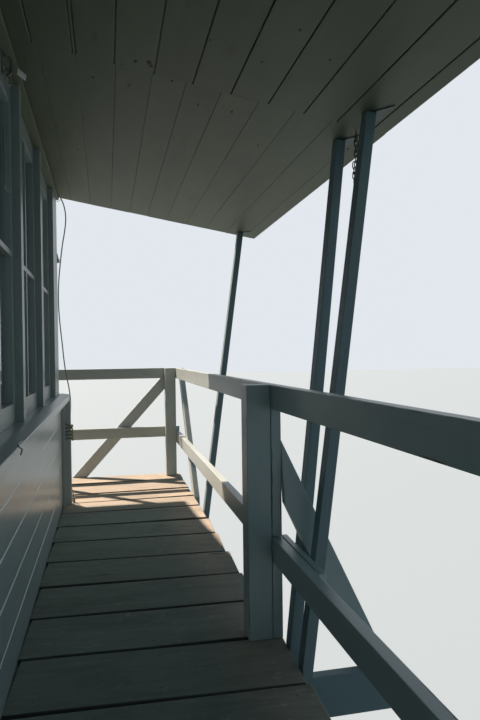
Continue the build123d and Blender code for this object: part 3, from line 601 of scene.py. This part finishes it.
# Seams of the east walk, at the wall and at the rim, along from the cab's corner.
wall_seams = half_cab + np.array([-2.497, -2.172, -1.857, -1.524, -1.197, -0.869, -0.566, -0.257,
                                  0.012, 0.262, 0.672, walk])
rim_seams = half_cab + np.array([-2.537, -2.216, -1.880, -1.564, -1.247, -0.921, -0.596, -0.253,
                                 0.020, 0.312, 0.660, walk])
unseen = lay(-half_deck, half_cab - 2.84, 0.31)  # behind the camera
nails = [planks("planks_east", np.concatenate([unseen, wall_seams]),
                np.concatenate([unseen - 0.02 * (unseen > -3), rim_seams]), 0, "deck_east")]
for quarter, reach in ((1, half_cab), (2, half_deck), (3, half_cab)):
    seams, label = lay(-reach, reach, plank_wide), sides[quarter]
    nails.append(planks("planks_" + label, seams, seams, quarter, "deck_" + label))
print(len(wall_seams) + len(unseen) - 1, "planks on the east walk")

# %% [markdown]
# Inside, the floor is of narrow boards laid from wall to wall. It shows only through the glass,
# so plain boards with tight joints do.

# %% Floor of the cab
seams = lay(-half_cab, half_cab, floor_wide)
middles, widths, n = (seams[1:] + seams[:-1]) / 2, np.diff(seams), len(seams) - 1
centre = np.stack([np.zeros(n), middles, np.full(n, deck - plank / 2)], 1)
size = np.stack([np.full(n, 2 * half_cab - 0.002), widths - 0.002, np.full(n, plank)], 1)
floor = boards("floor_planks", centre, east, north, size, floor_wood, "floor_board", edge=0.001)
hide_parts("cab_floor")
print(n, "boards on the cab's floor")

# %% [markdown]
# ## Walls
# Below the sills the walls are clad with level boards whose bevelled edges meet in a groove, and
# they are lined inside. The frame's slab is replaced by core, siding and lining, so that each
# groove holds real shade.

# %% Siding and lining
courses = 5
course = wall_top / courses
end_gap = 0.100  # the next side's wall stands here
wall_layers = (  # name, depth of its outer face, thickness, gap in a course, look, edge, bow
    ("siding", 0.0, 0.020, 0.0, white_paint, 0.008, 0.0008),
    ("wall_core", 0.020, 0.064, None, lining_paint, 0.001, 0.0),
    ("lining", 0.084, 0.016, 0.002, lining_paint, 0.002, 0.0))


def wall(side, runs, node):
    """Siding outside, a core in one slab, and lining inside, over runs along the wall."""
    for name, depth, thick, gap, look, edge, bow in wall_layers:
        rows = [(wall_top / 2, wall_top)] if gap is None else [
            ((k + 0.5) * course, course - gap) for k in range(courses)]
        low, high, middle, width = np.array([(*run, *row) for run in runs for row in rows]).T
        n = len(low)
        centre = np.stack([
            np.full(n, half_cab - depth - thick / 2), (low + high) / 2, deck + middle], 1)
        size = np.stack([high - low, width, np.full(n, thick)], 1)
        thing = boards(f"{name}_{sides[side]}", turned(centre, side), turned(north[None], side),
                       -up_z, size, look, "white_paint", edge=edge, cuts=4, warp=bow)
        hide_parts(node)


full_run = [(-half_cab, half_cab - end_gap)]
door_half = (bay + mullion) / 2
wall(0, full_run, "wall_east")
wall(1, full_run, "wall_north")
wall(2, [(-half_cab, -door_half), (door_half, half_cab - end_gap)], "wall_west")
wall(3, full_run, "wall_south")
print(courses, "courses of siding on each side")

# %% [markdown]
# Sills, pillars, headers, ceiling and door have falls, rebates and mitres, so the solids stay as
# they are. They only get softened edges and a grain that runs along each piece.

# %% Painted trim
dress("trim", ["corner_boards", "corner_batten", "window_sills"], white_paint, "white_paint")
dress("window_frames", ["corner_pillars", "mullions", "door_frame"], frame_paint_shaded, "white_paint")
# The headers take the shutters' painted shade colour.
dress("lintels", ["headers"], shutter_paint_and_shade, "white_paint")
dress("ceiling_boards", ["ceiling"], lining_paint, "ceiling_paint", edge=0.001)
door_leaf = dress("door_leaf", ["door"], white_paint, "white_paint", edge=0.001)
print("door leaf of", len(door_leaf.data.polygons), "faces")

# %% [markdown]
# ## Windows
# Each window is a wooden sash of two by two lights. It could be cut from one sheet, but as
# separate members its grain turns at each joint, as it does on joinery. The glass is the frame's.

# %% Sashes
sash_low, sash_high = 0.765, 2.0995
sash_wide, sash_tall = bay - mullion - 0.001, sash_high - sash_low
stile, low_rail, top_rail, bar = 0.045, 0.078, 0.092, 0.022
light_wide, light_tall = sash_wide - 2 * stile, sash_tall - low_rail - top_rail
light_mid = sash_low + low_rail + light_tall / 2
side_off = (sash_wide - stile) / 2
bar_off, bar_long = (light_wide + bar) / 4, (light_wide - bar) / 2
face = half_cab - 0.048  # outer face of the sashes
thick_sash, thick_bar = 0.035, 0.0205
members = [  # y, z, length, width, upright, thickness, set back
    *((way * side_off, (sash_low + sash_high) / 2, sash_tall, stile, 1, thick_sash, 0.0)
      for way in (-1, 1)),
    (0, sash_low + low_rail / 2, light_wide, low_rail, 0, thick_sash, 0.0),
    (0, sash_high - top_rail / 2, light_wide, top_rail, 0, thick_sash, 0.0),
    (0, light_mid, light_tall, bar, 1, thick_bar, 0.0),
    *((way * bar_off, light_mid, bar_long, bar, 0, thick_bar - 0.0010, 0.0005) for way in (-1, 1))]
places = [(side, (k - 2) * bay) for side in range(4) for k in range(5) if (side, k) != (2, 2)]
centre, run, cross, size = [], [], [], []
for side, y in places:
    for my, mz, length, width, upright_bar, thick, back in members:
        centre.append(turned(np.array([face - back - thick / 2, y + my, deck + mz]), side))
        run.append(up_z if upright_bar else turned(north, side))
        cross.append(-turned(north, side) if upright_bar else up_z)
        size.append((length, width, thick))
sash = boards("sashes", centre, run, cross, size, frame_paint_shaded, "white_paint", edge=0.0015)
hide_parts("window_sashes")
print(len(places), "sashes")

# %% [markdown]
# ## Shutters
# Each side has two wide shutters of tongued boards, raised level with the window heads and held
# by struts. From the walk their undersides make the ceiling, so seams and board ends matter, and
# every board is modelled. The seams of the near leaf and the far one are read from the picture.

# %% Shutters
slope = math.radians(9.9)  # fall of the raised shutters
out_dir = np.array([math.cos(slope), 0.0, -math.sin(slope)])
top_dir = np.array([math.sin(slope), 0.0, math.cos(slope)])
hinge_line = np.array([half_cab, 0.0, deck + hinge_height])
near_seams = np.array([-0.001, 0.071, 0.2075, 0.2195, 0.353, 0.494, 0.635, 0.778, 0.924, 1.065,
                       1.200, 1.342, 1.403])
far_seams = np.array([-0.001, 0.088, 0.217, 0.358, 0.488, 0.612, 0.744, 0.888, 1.031, 1.180,
                      1.325, 1.403])
leaves = ((-1, near_seams, 0.0040, 0.0019), (1, far_seams, 0.0008, 0.0013))  # way, seams, gap, edge
end_lap = 0.0034  # the boards of a leaf reach this far towards the other leaf
skin_up, tongue_up, batten_up = 0.011, 0.013, 0.033  # their middles, over the underside
batten_out, batten_in = 0.703, 0.110  # from the hinge line, from the leaf's ends
for side in range(4):
    reach = half_cab - end_gap * (side % 2)
    leaf = reach - 0.002
    centre, size, eases, slats, tongues, strips = [], [], [], [], [], []
    for way, seam, gap, ease in leaves:
        middle = way * (reach - leaf / 2)
        for m, w in zip((seam[1:] + seam[:-1]) / 2, np.diff(seam)):
            ragged, drop = rng.uniform(0.0, 0.008), rng.uniform(0.0, 0.0004)
            y = middle - way * (end_lap + ragged) / 2
            centre.append(hinge_line + out_dir * m + top_dir * (skin_up + drop) + north * y)
            size.append((leaf - ragged + end_lap, w - gap * rng.uniform(0.5, 1.3), 0.0215))
            eases.append(ease)
        for m in seam[1:-1]:
            tongues.append(hinge_line + out_dir * m + top_dir * tongue_up + north * middle)
            strips.append((leaf - 0.02, 0.016, 0.006))
        for y in (batten_in - leaf / 2, 0.0, leaf / 2 - batten_in):
            slats.append(hinge_line + out_dir * batten_out + top_dir * batten_up
                         + north * (middle + y))
    name = "shutters_" + sides[side]
    run, fall = turned(north[None], side), turned(out_dir[None], side)
    skin = boards(name + "_boards", turned(centre, side), run, -fall, size, shutter_paint_and_shade,
                  "grey_paint", edge=eases, cuts=3, warp=0.0006)
    tongue = boards(name + "_tongues", turned(tongues, side), run, -fall, strips, shutter_paint_and_shade,
                    "grey_paint", edge=0.001)
    batten = boards(name + "_battens", turned(slats, side), fall, run, (1.399, 0.089, 0.0225),
                    rail_paint, "grey_paint", edge=0.003)
    for part in (skin, tongue, batten):
        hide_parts(name)
print(len(near_seams) - 1, "and", len(far_seams) - 1, "boards in the two leaves")

# %% [markdown]
# The near boards show dark knots in places that a noise would not hit, so each is a thin flake
# let into the underside. Its outline is an oval with three lobes, r = 1 + 0.25 * sin(3 * a +
# shift) * depth.

# %% Knots
knot_marks = np.array([  # out from the wall, along it, half length, half width
    (0.419, -2.192, 0.013, 0.008), (0.464, -2.210, 0.020, 0.011), (0.473, -2.189, 0.014, 0.009),
    (0.375, -2.148, 0.008, 0.004), (0.404, -1.994, 0.008, 0.005), (0.272, -1.984, 0.009, 0.006),
    (0.178, -1.117, 0.012, 0.005), (0.553, -2.119, 0.009, 0.006), (0.669, -1.978, 0.012, 0.005),
    (0.801, -1.993, 0.012, 0.006), (0.973, -1.729, 0.014, 0.006), (0.032, -1.994, 0.007, 0.004),
    (1.002, -2.528, 0.009, 0.005), (0.869, -2.634, 0.009, 0.006), (0.636, -2.452, 0.008, 0.005),
    (0.814, -2.409, 0.008, 0.005), (1.316, -1.924, 0.012, 0.005)])
n, count = len(knot_marks), 14
a = np.arange(count) * 2 * np.pi / count
lobes = 1 + 0.25 * np.sin(3 * a + rng.uniform(0, 6, (n, 1))) * rng.uniform(0.3, 1, (n, 1))
out_by, along_by, half_long, half_wide = (knot_marks[:, i:i + 1] for i in range(4))
shrink = 0.75
y = along_by + np.cos(a) * lobes * half_long * shrink
x = out_by / math.cos(slope) + np.sin(a) * lobes * half_wide * shrink
flat = corner + up_z * hinge_height + y[..., None] * north + x[..., None] * out_dir
verts = np.concatenate([flat + top_dir * 0.002, flat - top_dir * 0.0006], 1)
piece("shutter_knots", verts.reshape(-1, 3), copies(stacked(count, 2), 2 * count, n), knot_wood,
      "grey_paint")
print(n, "knots")

# %% [markdown]
# ## Rails, struts and tower
# Rails, braces and struts have slanting cuts at head and foot, so their solids are dressed too.
# Rails shrink by about a millimetre, which leaves a fine dark joint where two of them meet.

# %% Rails, struts and framing
dress("rails", ["rail_posts", "top_rails", "lower_rails", "post_cleats", "rail_braces",
                "knee_braces"], rail_paint, "grey_paint", edge=0.0022, inset=0.0011)
dress("struts", ["shutter_struts", "rafter_tails"], strut_paint_shaded, "grey_paint")
dress("white_framing", ["outriggers", "rim_boards", "fascia_boards"], strut_paint_shaded, "white_paint",
      edge=0.003)
tower = dress("tower", ["tower_legs", "cross_braces", "cap_beams", "floor_joists"], tower_wood,
              "tower_timber", edge=0.004)
print("tower of", len(tower.data.polygons), "faces")

# %% [markdown]
# ## Roof
# A low pyramid covered with split shingles in level courses, each course lapping the one below.
# A picture of shingles would be smooth at the eaves, so each one is a thin board, tilted a little.

# %% Shingles
roof_pitch = math.radians(20)
overhang = 0.180 + 0.020 + 0.015  # rafter tails, fascia and drip
roof_half = half_cab + overhang
eave_top = deck + 2.260 + 0.095 - overhang * math.tan(roof_pitch) + 0.040
up_slope = np.array([-math.cos(roof_pitch), 0.0, math.sin(roof_pitch)])
out_slope = np.array([math.sin(roof_pitch), 0.0, math.cos(roof_pitch)])
slope_length = (roof_half - 0.060) / math.cos(roof_pitch)
exposure, shingle_long, shingle_thick, tilt = 0.130, 0.247, 0.009, 0.03
centre, size = [], []
for row in range(int((slope_length - 0.10) / exposure)):
    low = row * exposure
    reach_low = roof_half - low * math.cos(roof_pitch)
    cuts_y = [-reach_low]
    while cuts_y[-1] < reach_low:
        cuts_y.append(cuts_y[-1] + rng.uniform(0.09, 0.20))
    cuts_y[-1] = reach_low
    for y0, y1 in zip(cuts_y[:-1], cuts_y[1:]):
        to_hip = (roof_half - max(abs(y0), abs(y1))) / math.cos(roof_pitch) - low + 0.05
        length = min(shingle_long, to_hip)
        if length < 0.04 or y1 - y0 < 0.02:
            continue
        ragged = rng.uniform(0, 0.010)
        centre.append(np.array([roof_half, 0, eave_top]) + up_slope * (low + ragged + length / 2)
                      + out_slope * 0.0075 + north * (y0 + y1) / 2)
        size.append((length, y1 - y0 - 0.005, shingle_thick))
tip = up_slope * math.cos(tilt) - out_slope * math.sin(tilt)
for side in range(4):
    boards("shingles_" + sides[side], turned(centre, side), turned(tip[None], side),
           -turned(north[None], side), size, shingle_wood, "shingle", edge=0.001)
print(len(centre), "shingles on each side")

# %% [markdown]
# ## Lightning wire
# A stranded wire comes out of the north header and hangs down past the corner to the deck. It is
# one smooth line along the points of its solid, and its section stays round where it bends.

# %% Wire
wire_route = np.array([  # millimetres from the foot of the corner
    (-30, 0, 2181), (-30, 40, 2181), (-3, 64, 2150), (28, 66, 2092), (43, 59, 2000),
    (33, 61, 1903), (15, 56, 1805), (2, 60, 1703), (-9, 57, 1600), (-17, 61, 1498),
    (-18, 58, 1393), (-13, 62, 1290), (-4, 60, 1188), (6, 64, 1087), (14, 62, 987), (27, 67, 890),
    (46, 68, 797), (55, 64, 700), (50, 58, 602), (44, 51, 508), (47, 44, 410), (43, 41, 311),
    (49, 42, 213), (46, 45, 118), (66, 52, 56), (66, 52, 0)]) / 1000 + corner
curve = bpy.data.curves.new("ground_wire_line", "CURVE")
curve.dimensions = "3D"
line = curve.splines.new("NURBS")
line.points.add(len(wire_route) - 1)
line.points.foreach_set("co", np.hstack([wire_route, np.ones((len(wire_route), 1))]).ravel())
line.order_u = 3
line.use_endpoint_u = True
curve.bevel_depth = 0.004
curve.bevel_resolution = 3
curve.use_fill_caps = True
curve.materials.append(wire_steel)
wire = placed("ground_wire_line", curve)
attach(wire, "root")
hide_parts("ground_wire")
print("wire of", len(wire_route), "points")


# %% [markdown]
# ## Chain, hooks and ties
# Small ironwork seen from the walk: a chain on a strut head, a ring and a bright tag at the
# hinges, a hook on the sill, a tie round the corner batten, and bent wire. Their places are from
# the foot of the north-east corner.

# %% Bars and links
def tube(route, radius, ring=6, closed=False):
    """A round bar: points c + r * (cos(a) * n + sin(a) * b) round each point c of a route.

    The normal n is carried from point to point, less its part along the run t: n - t * (n . t).
    """
    route = np.asarray(route, float)
    run = np.roll(route, -1, 0) - np.roll(route, 1, 0)
    if not closed:
        run[0], run[-1] = route[1] - route[0], route[-1] - route[-2]
    run = unit(run)
    normal = [np.cross(run[0], (0.31, 0.52, 0.79))]
    for t in run[1:]:
        normal.append(normal[-1] - t * (normal[-1] @ t))
    normal = unit(np.array(normal))
    rings = route[:, None] + radius * circles(normal, np.cross(run, normal), ring)
    n = len(route)
    faces = stacked(ring, n)
    if closed:
        faces = [tuple(v % (n * ring) for v in face) for face in stacked(ring, n + 1)[:-2]]
    return rings.reshape(-1, 3), faces


def joined(name, parts, look, slot):
    """One piece from several sets of points and faces."""
    start, faces = 0, []
    for verts, some in parts:
        faces += [tuple(v + start for v in face) for face in some]
        start += len(verts)
    return piece(name, np.vstack([verts for verts, _ in parts]), faces, look, slot)


def oval(centre, long_dir, wide_dir, long_half, wide_half, radius, count=16):
    """A closed link of round bar, with straight sides where it is longer than wide."""
    a = np.arange(count) * 2 * np.pi / count
    along = np.cos(a) * wide_half + np.sign(np.cos(a)) * (long_half - wide_half)
    route = centre + along[:, None] * long_dir + (np.sin(a) * wide_half)[:, None] * wide_dir
    return tube(route, radius, closed=True)


def bent(points, radius, ring=6):
    """A bent bar through points given from the foot of the corner."""
    return tube(corner + points, radius, ring)


print("a straight bar has", len(bent([(0, 0, 0), (0, 0, 1)], 0.01)[1]), "faces")

# %% [markdown]
# The chain hangs by a hook at a strut's head in two runs. Each link is turned a quarter against
# the one before it, as links lie.

# %% Chain
chain_top = corner + [1.273, -2.105, 1.884]
chain_end = chain_top + [-0.012, -0.010, -0.130]
runs = (  # first link, spacing, count, the ways that the links lie in turn
    (chain_top - up_z * 0.020, 0.0205, 9, (north, east)), (chain_end, 0.0200, 4, (east, north)))
links = [oval(start - up_z * spacing * k, up_z, wide[k % 2], 0.0145, 0.0080, 0.0022)
         for start, spacing, n, wide in runs for k in range(n)]
joined("strut_chain", links, iron, "iron")
print(len(links), "links")

# %% [markdown]
# Hooks, ring, latches and the tie are bent bars too, through points read from the picture. The
# tie is a coil with flattened sides, (|cos t| ** 0.6, |sin t| ** 0.6) with their signs.

# %% Hooks, ring, latches and tie
turns = np.linspace(0.0, 9.0 * np.pi, 145)  # four and a half turns round the batten
round_x, round_y = (np.sign(v) * np.abs(v) ** 0.6 for v in (np.cos(turns), np.sin(turns)))
coil = np.stack([0.0440 + 0.0235 * round_x, 0.012 + 0.0385 * round_y,
                 0.440 + 0.0039 * turns + 0.002 * np.sin(3 * turns)], 1)
loose_end = [(0.066, -0.020, 0.535), (0.050, -0.034, 0.552), (0.020, -0.036, 0.560),
             (0.008, -0.030, 0.585)]
joined("batten_tie", [bent(coil, 0.0048), bent(loose_end, 0.0040)], old_cord, "wire")

chain_hook = chain_top - corner + [(0.0, 0.0, 0.008), (0.0, 0.0, -0.004), (0.004, 0.006, -0.014),
                                   (0.0, 0.010, -0.020), (-0.006, 0.006, -0.014)]
ring_hook = [(-0.056, -2.255, 2.032), (-0.030, -2.258, 2.024), (-0.006, -2.262, 2.000),
             (0.008, -2.264, 1.984), (0.008, -2.258, 1.974)]
wire_clip = [(-0.026, 0.030, 2.158), (0.000, 0.062, 2.145), (0.012, 0.064, 2.120),
             (-0.012, 0.062, 2.106), (-0.034, 0.045, 2.112)]
joined("hooks_and_ties", [
    bent(chain_hook, 0.0025),
    oval(corner + [0.008, -2.262, 1.955], up_z, east, 0.030, 0.014, 0.0042),
    bent(ring_hook, 0.0050),
    oval(corner + [0.010, -2.256, 1.922], np.array([0.1, 0.3, -0.95]), np.array([0.7, 0.7, 0.3]),
         0.022, 0.011, 0.0040),
    bent(wire_clip, 0.0018),
    bent([(0.066, 0.052, 0.002), (0.066, 0.052, 0.034)], 0.0105, 8)], steel_iron, "iron")

sill_hook = [(0.056, -2.420, 0.768), (0.061, -2.421, 0.772), (0.062, -2.491, 0.779),
             (0.062, -2.541, 0.779), (0.062, -2.512, 0.769), (0.062, -2.457, 0.755),
             (0.063, -2.472, 0.7485), (0.062, -2.485, 0.7425)]
sash_wire = [(-0.044, -2.008, 1.852), (-0.042, -2.010, 1.760), (-0.042, -2.012, 1.660),
             (-0.043, -2.004, 1.640), (-0.043, -1.960, 1.640), (-0.044, -1.870, 1.650)]
joined("latches", [bent(sill_hook, 0.0024), bent(sash_wire, 0.0018)], wire_steel, "iron")

boards("hinge_tag", corner + [0.013, -1.935, 2.078], (0.437, 0.899, -0.038),
       (0.213, -0.062, 0.975), (0.054, 0.021, 0.0015), tag_metal, "iron", edge=0.0004)
print(len(coil), "points in the tie")

# %% [markdown]
# The east lower rail has a loose lath on its outer side, broken off short of its end. It bows a
# little, as the boards do.

# %% Lath
lath_size = (0.40, 0.056, 0.022)
boards("rail_lath", corner + [walk + 0.0135, -2.415, 0.338], (0.0, 1.0, 0.004), (0.0, -0.004, 1.0),
       lath_size, rail_paint, "grey_paint", edge=0.002, cuts=6, warp=0.001)
print(lath_size[0], "m of lath on the east rail")


# %% [markdown]
# ## Nails and bolts
# The planks are nailed, and the heads have rusted. There are hundreds, so each is a low dome of
# only eight sides, and all are one mesh.

# %% Nails
def rims(ways, count):
    """Unit circles of so many points that turn left round each way."""
    first = unit(np.cross(ways, np.where(np.abs(ways[:, 2:]) > 0.7, east, up_z)))
    return circles(first, np.cross(ways, first), count)


spots, ways = (np.concatenate(part) for part in zip(*nails))
n, count = len(spots), 8
radius = rng.uniform(0.0032, 0.0042, (n, 1, 1))
rim = rims(ways, count)
low = spots[:, None] + rim * radius - ways[:, None] * 0.001
top = spots[:, None] + rim * radius * 0.6 + ways[:, None] * 0.0008
piece("nail_heads", np.concatenate([low, top], 1).reshape(-1, 3),
      copies(stacked(count, 2), 2 * count, n), iron, "iron")
print(n, "nails")

# %% [markdown]
# Washers and hexagon heads stand where the braces meet the legs and where the rails meet the
# posts. Each is a stack of three rings, the last drawn in a little to ease its edge.

# %% Bolts
foot_top, cap_under = 0.360, deck - plank - 0.184 - 0.235  # joists and cap beams lie above
leg_foot, leg_head, leg_half, brace_in = 2.250, 1.830, 0.100, 0.330
lean = (leg_foot - leg_head) / (cap_under - foot_top)
low_z, high_z = foot_top + brace_in, cap_under - brace_in
spots, ways = [], []
for z, end in ((low_z, -1), (high_z, 1)):
    reach = leg_foot - lean * (z - foot_top)
    climb = unit(np.array([0.0, 2 * reach, end * (high_z - low_z)]))
    for out in (1, -1):
        face_x = reach + out * (leg_half + plank)
        for off in (-0.045, 0.045):
            rise = climb[2] * off * end
            spots.append((face_x - lean * rise, out * (end * reach + climb[1] * off), z + rise))
            ways.append((out, 0.0, out * lean))
for y in (-0.060, half_deck - plank - rail_wide / 2):
    for z in (low_rail_top - rail_wide / 2, top_rail_top - rail_wide / 2):
        for off in (-0.020, 0.020):
            spots.append((half_deck, y + off, deck + z + 0.5 * off))
            ways.append((1.0, 0.0, 0.0))
spots, ways = (np.concatenate([turned(v, quarter) for quarter in range(4)])
               for v in (spots, unit(np.array(ways))))
parts = []
for count, wide, foot, rise in ((16, 0.017, -0.001, 0.003), (6, 0.010, 0.002, 0.009)):
    rows = [spots[:, None] + rims(ways, count) * wide * share + ways[:, None] * h
            for share, h in ((1.0, foot), (1.0, rise - 0.0008), (0.93, rise))]
    parts.append((np.concatenate(rows, 1).reshape(-1, 3),
                  copies(stacked(count, 3), 3 * count, len(spots))))
joined("bolts", parts, iron, "iron")
print(len(spots), "bolts")


# %% [markdown]
# ## Light and ground
# A plain pale floor under an even sky, and one lamp from the north-west, which is where the sun
# stands in the picture. Floor and sky look pale to the camera, and throw less light back than
# they show, so that the shade under the shutters stays deep.

# %% Light, ground and finish
def seen_rays(tree):
    """The camera ray, and the rays that reach the eye straight, off a mirror or through glass."""
    path = add_node(tree, "ShaderNodeLightPath").node
    straight, mirrored, through = (path.outputs[f"Is {kind} Ray"] for kind in (
        "Camera", "Glossy", "Transmission"))
    return straight, calc(tree, "MAXIMUM", calc(tree, "MAXIMUM", straight, mirrored), through)


far = 150.0
ground = bpy.data.meshes.new("ground")
ground.from_pydata([(-far, -far, 0), (far, -far, 0), (far, far, 0), (-far, far, 0)], [],
                   [(0, 1, 2, 3)])
ground_look, tree, shader = new_look("ground_look", 0.9)
straight, seen = seen_rays(tree)
tint(tree, shader, seen, (48, 77, 89), (158, 168, 178))
tree.links.new(blend(tree, straight, (0, 0, 0, 1), colour(88, 94, 98)),
               shader.inputs["Emission Color"])
shader.inputs["Emission Strength"].default_value = 1.0
ground.materials.append(ground_look)
ground_thing = placed("ground", ground)

world = bpy.data.worlds.new("even_sky")
world.use_nodes = True
bpy.context.scene.world = world
tree = world.node_tree
straight, seen = seen_rays(tree)
tree.links.new(blend(tree, seen, (0.070, 0.130, 0.162, 1), colour(226, 232, 238)),
               tree.nodes["Background"].inputs["Color"])

lamp = bpy.data.lights.new("soft_sun", "SUN")
lamp.energy = 6.8
lamp.angle = math.radians(0.8)
lamp.color = (1.0, 0.86, 0.70)
sun = placed("soft_sun", lamp)
sun.rotation_euler = Vector((0.492, -0.802, -1.0)).to_track_quat("-Z", "Y").to_euler()

bpy.context.scene.view_settings.view_transform = "Standard"
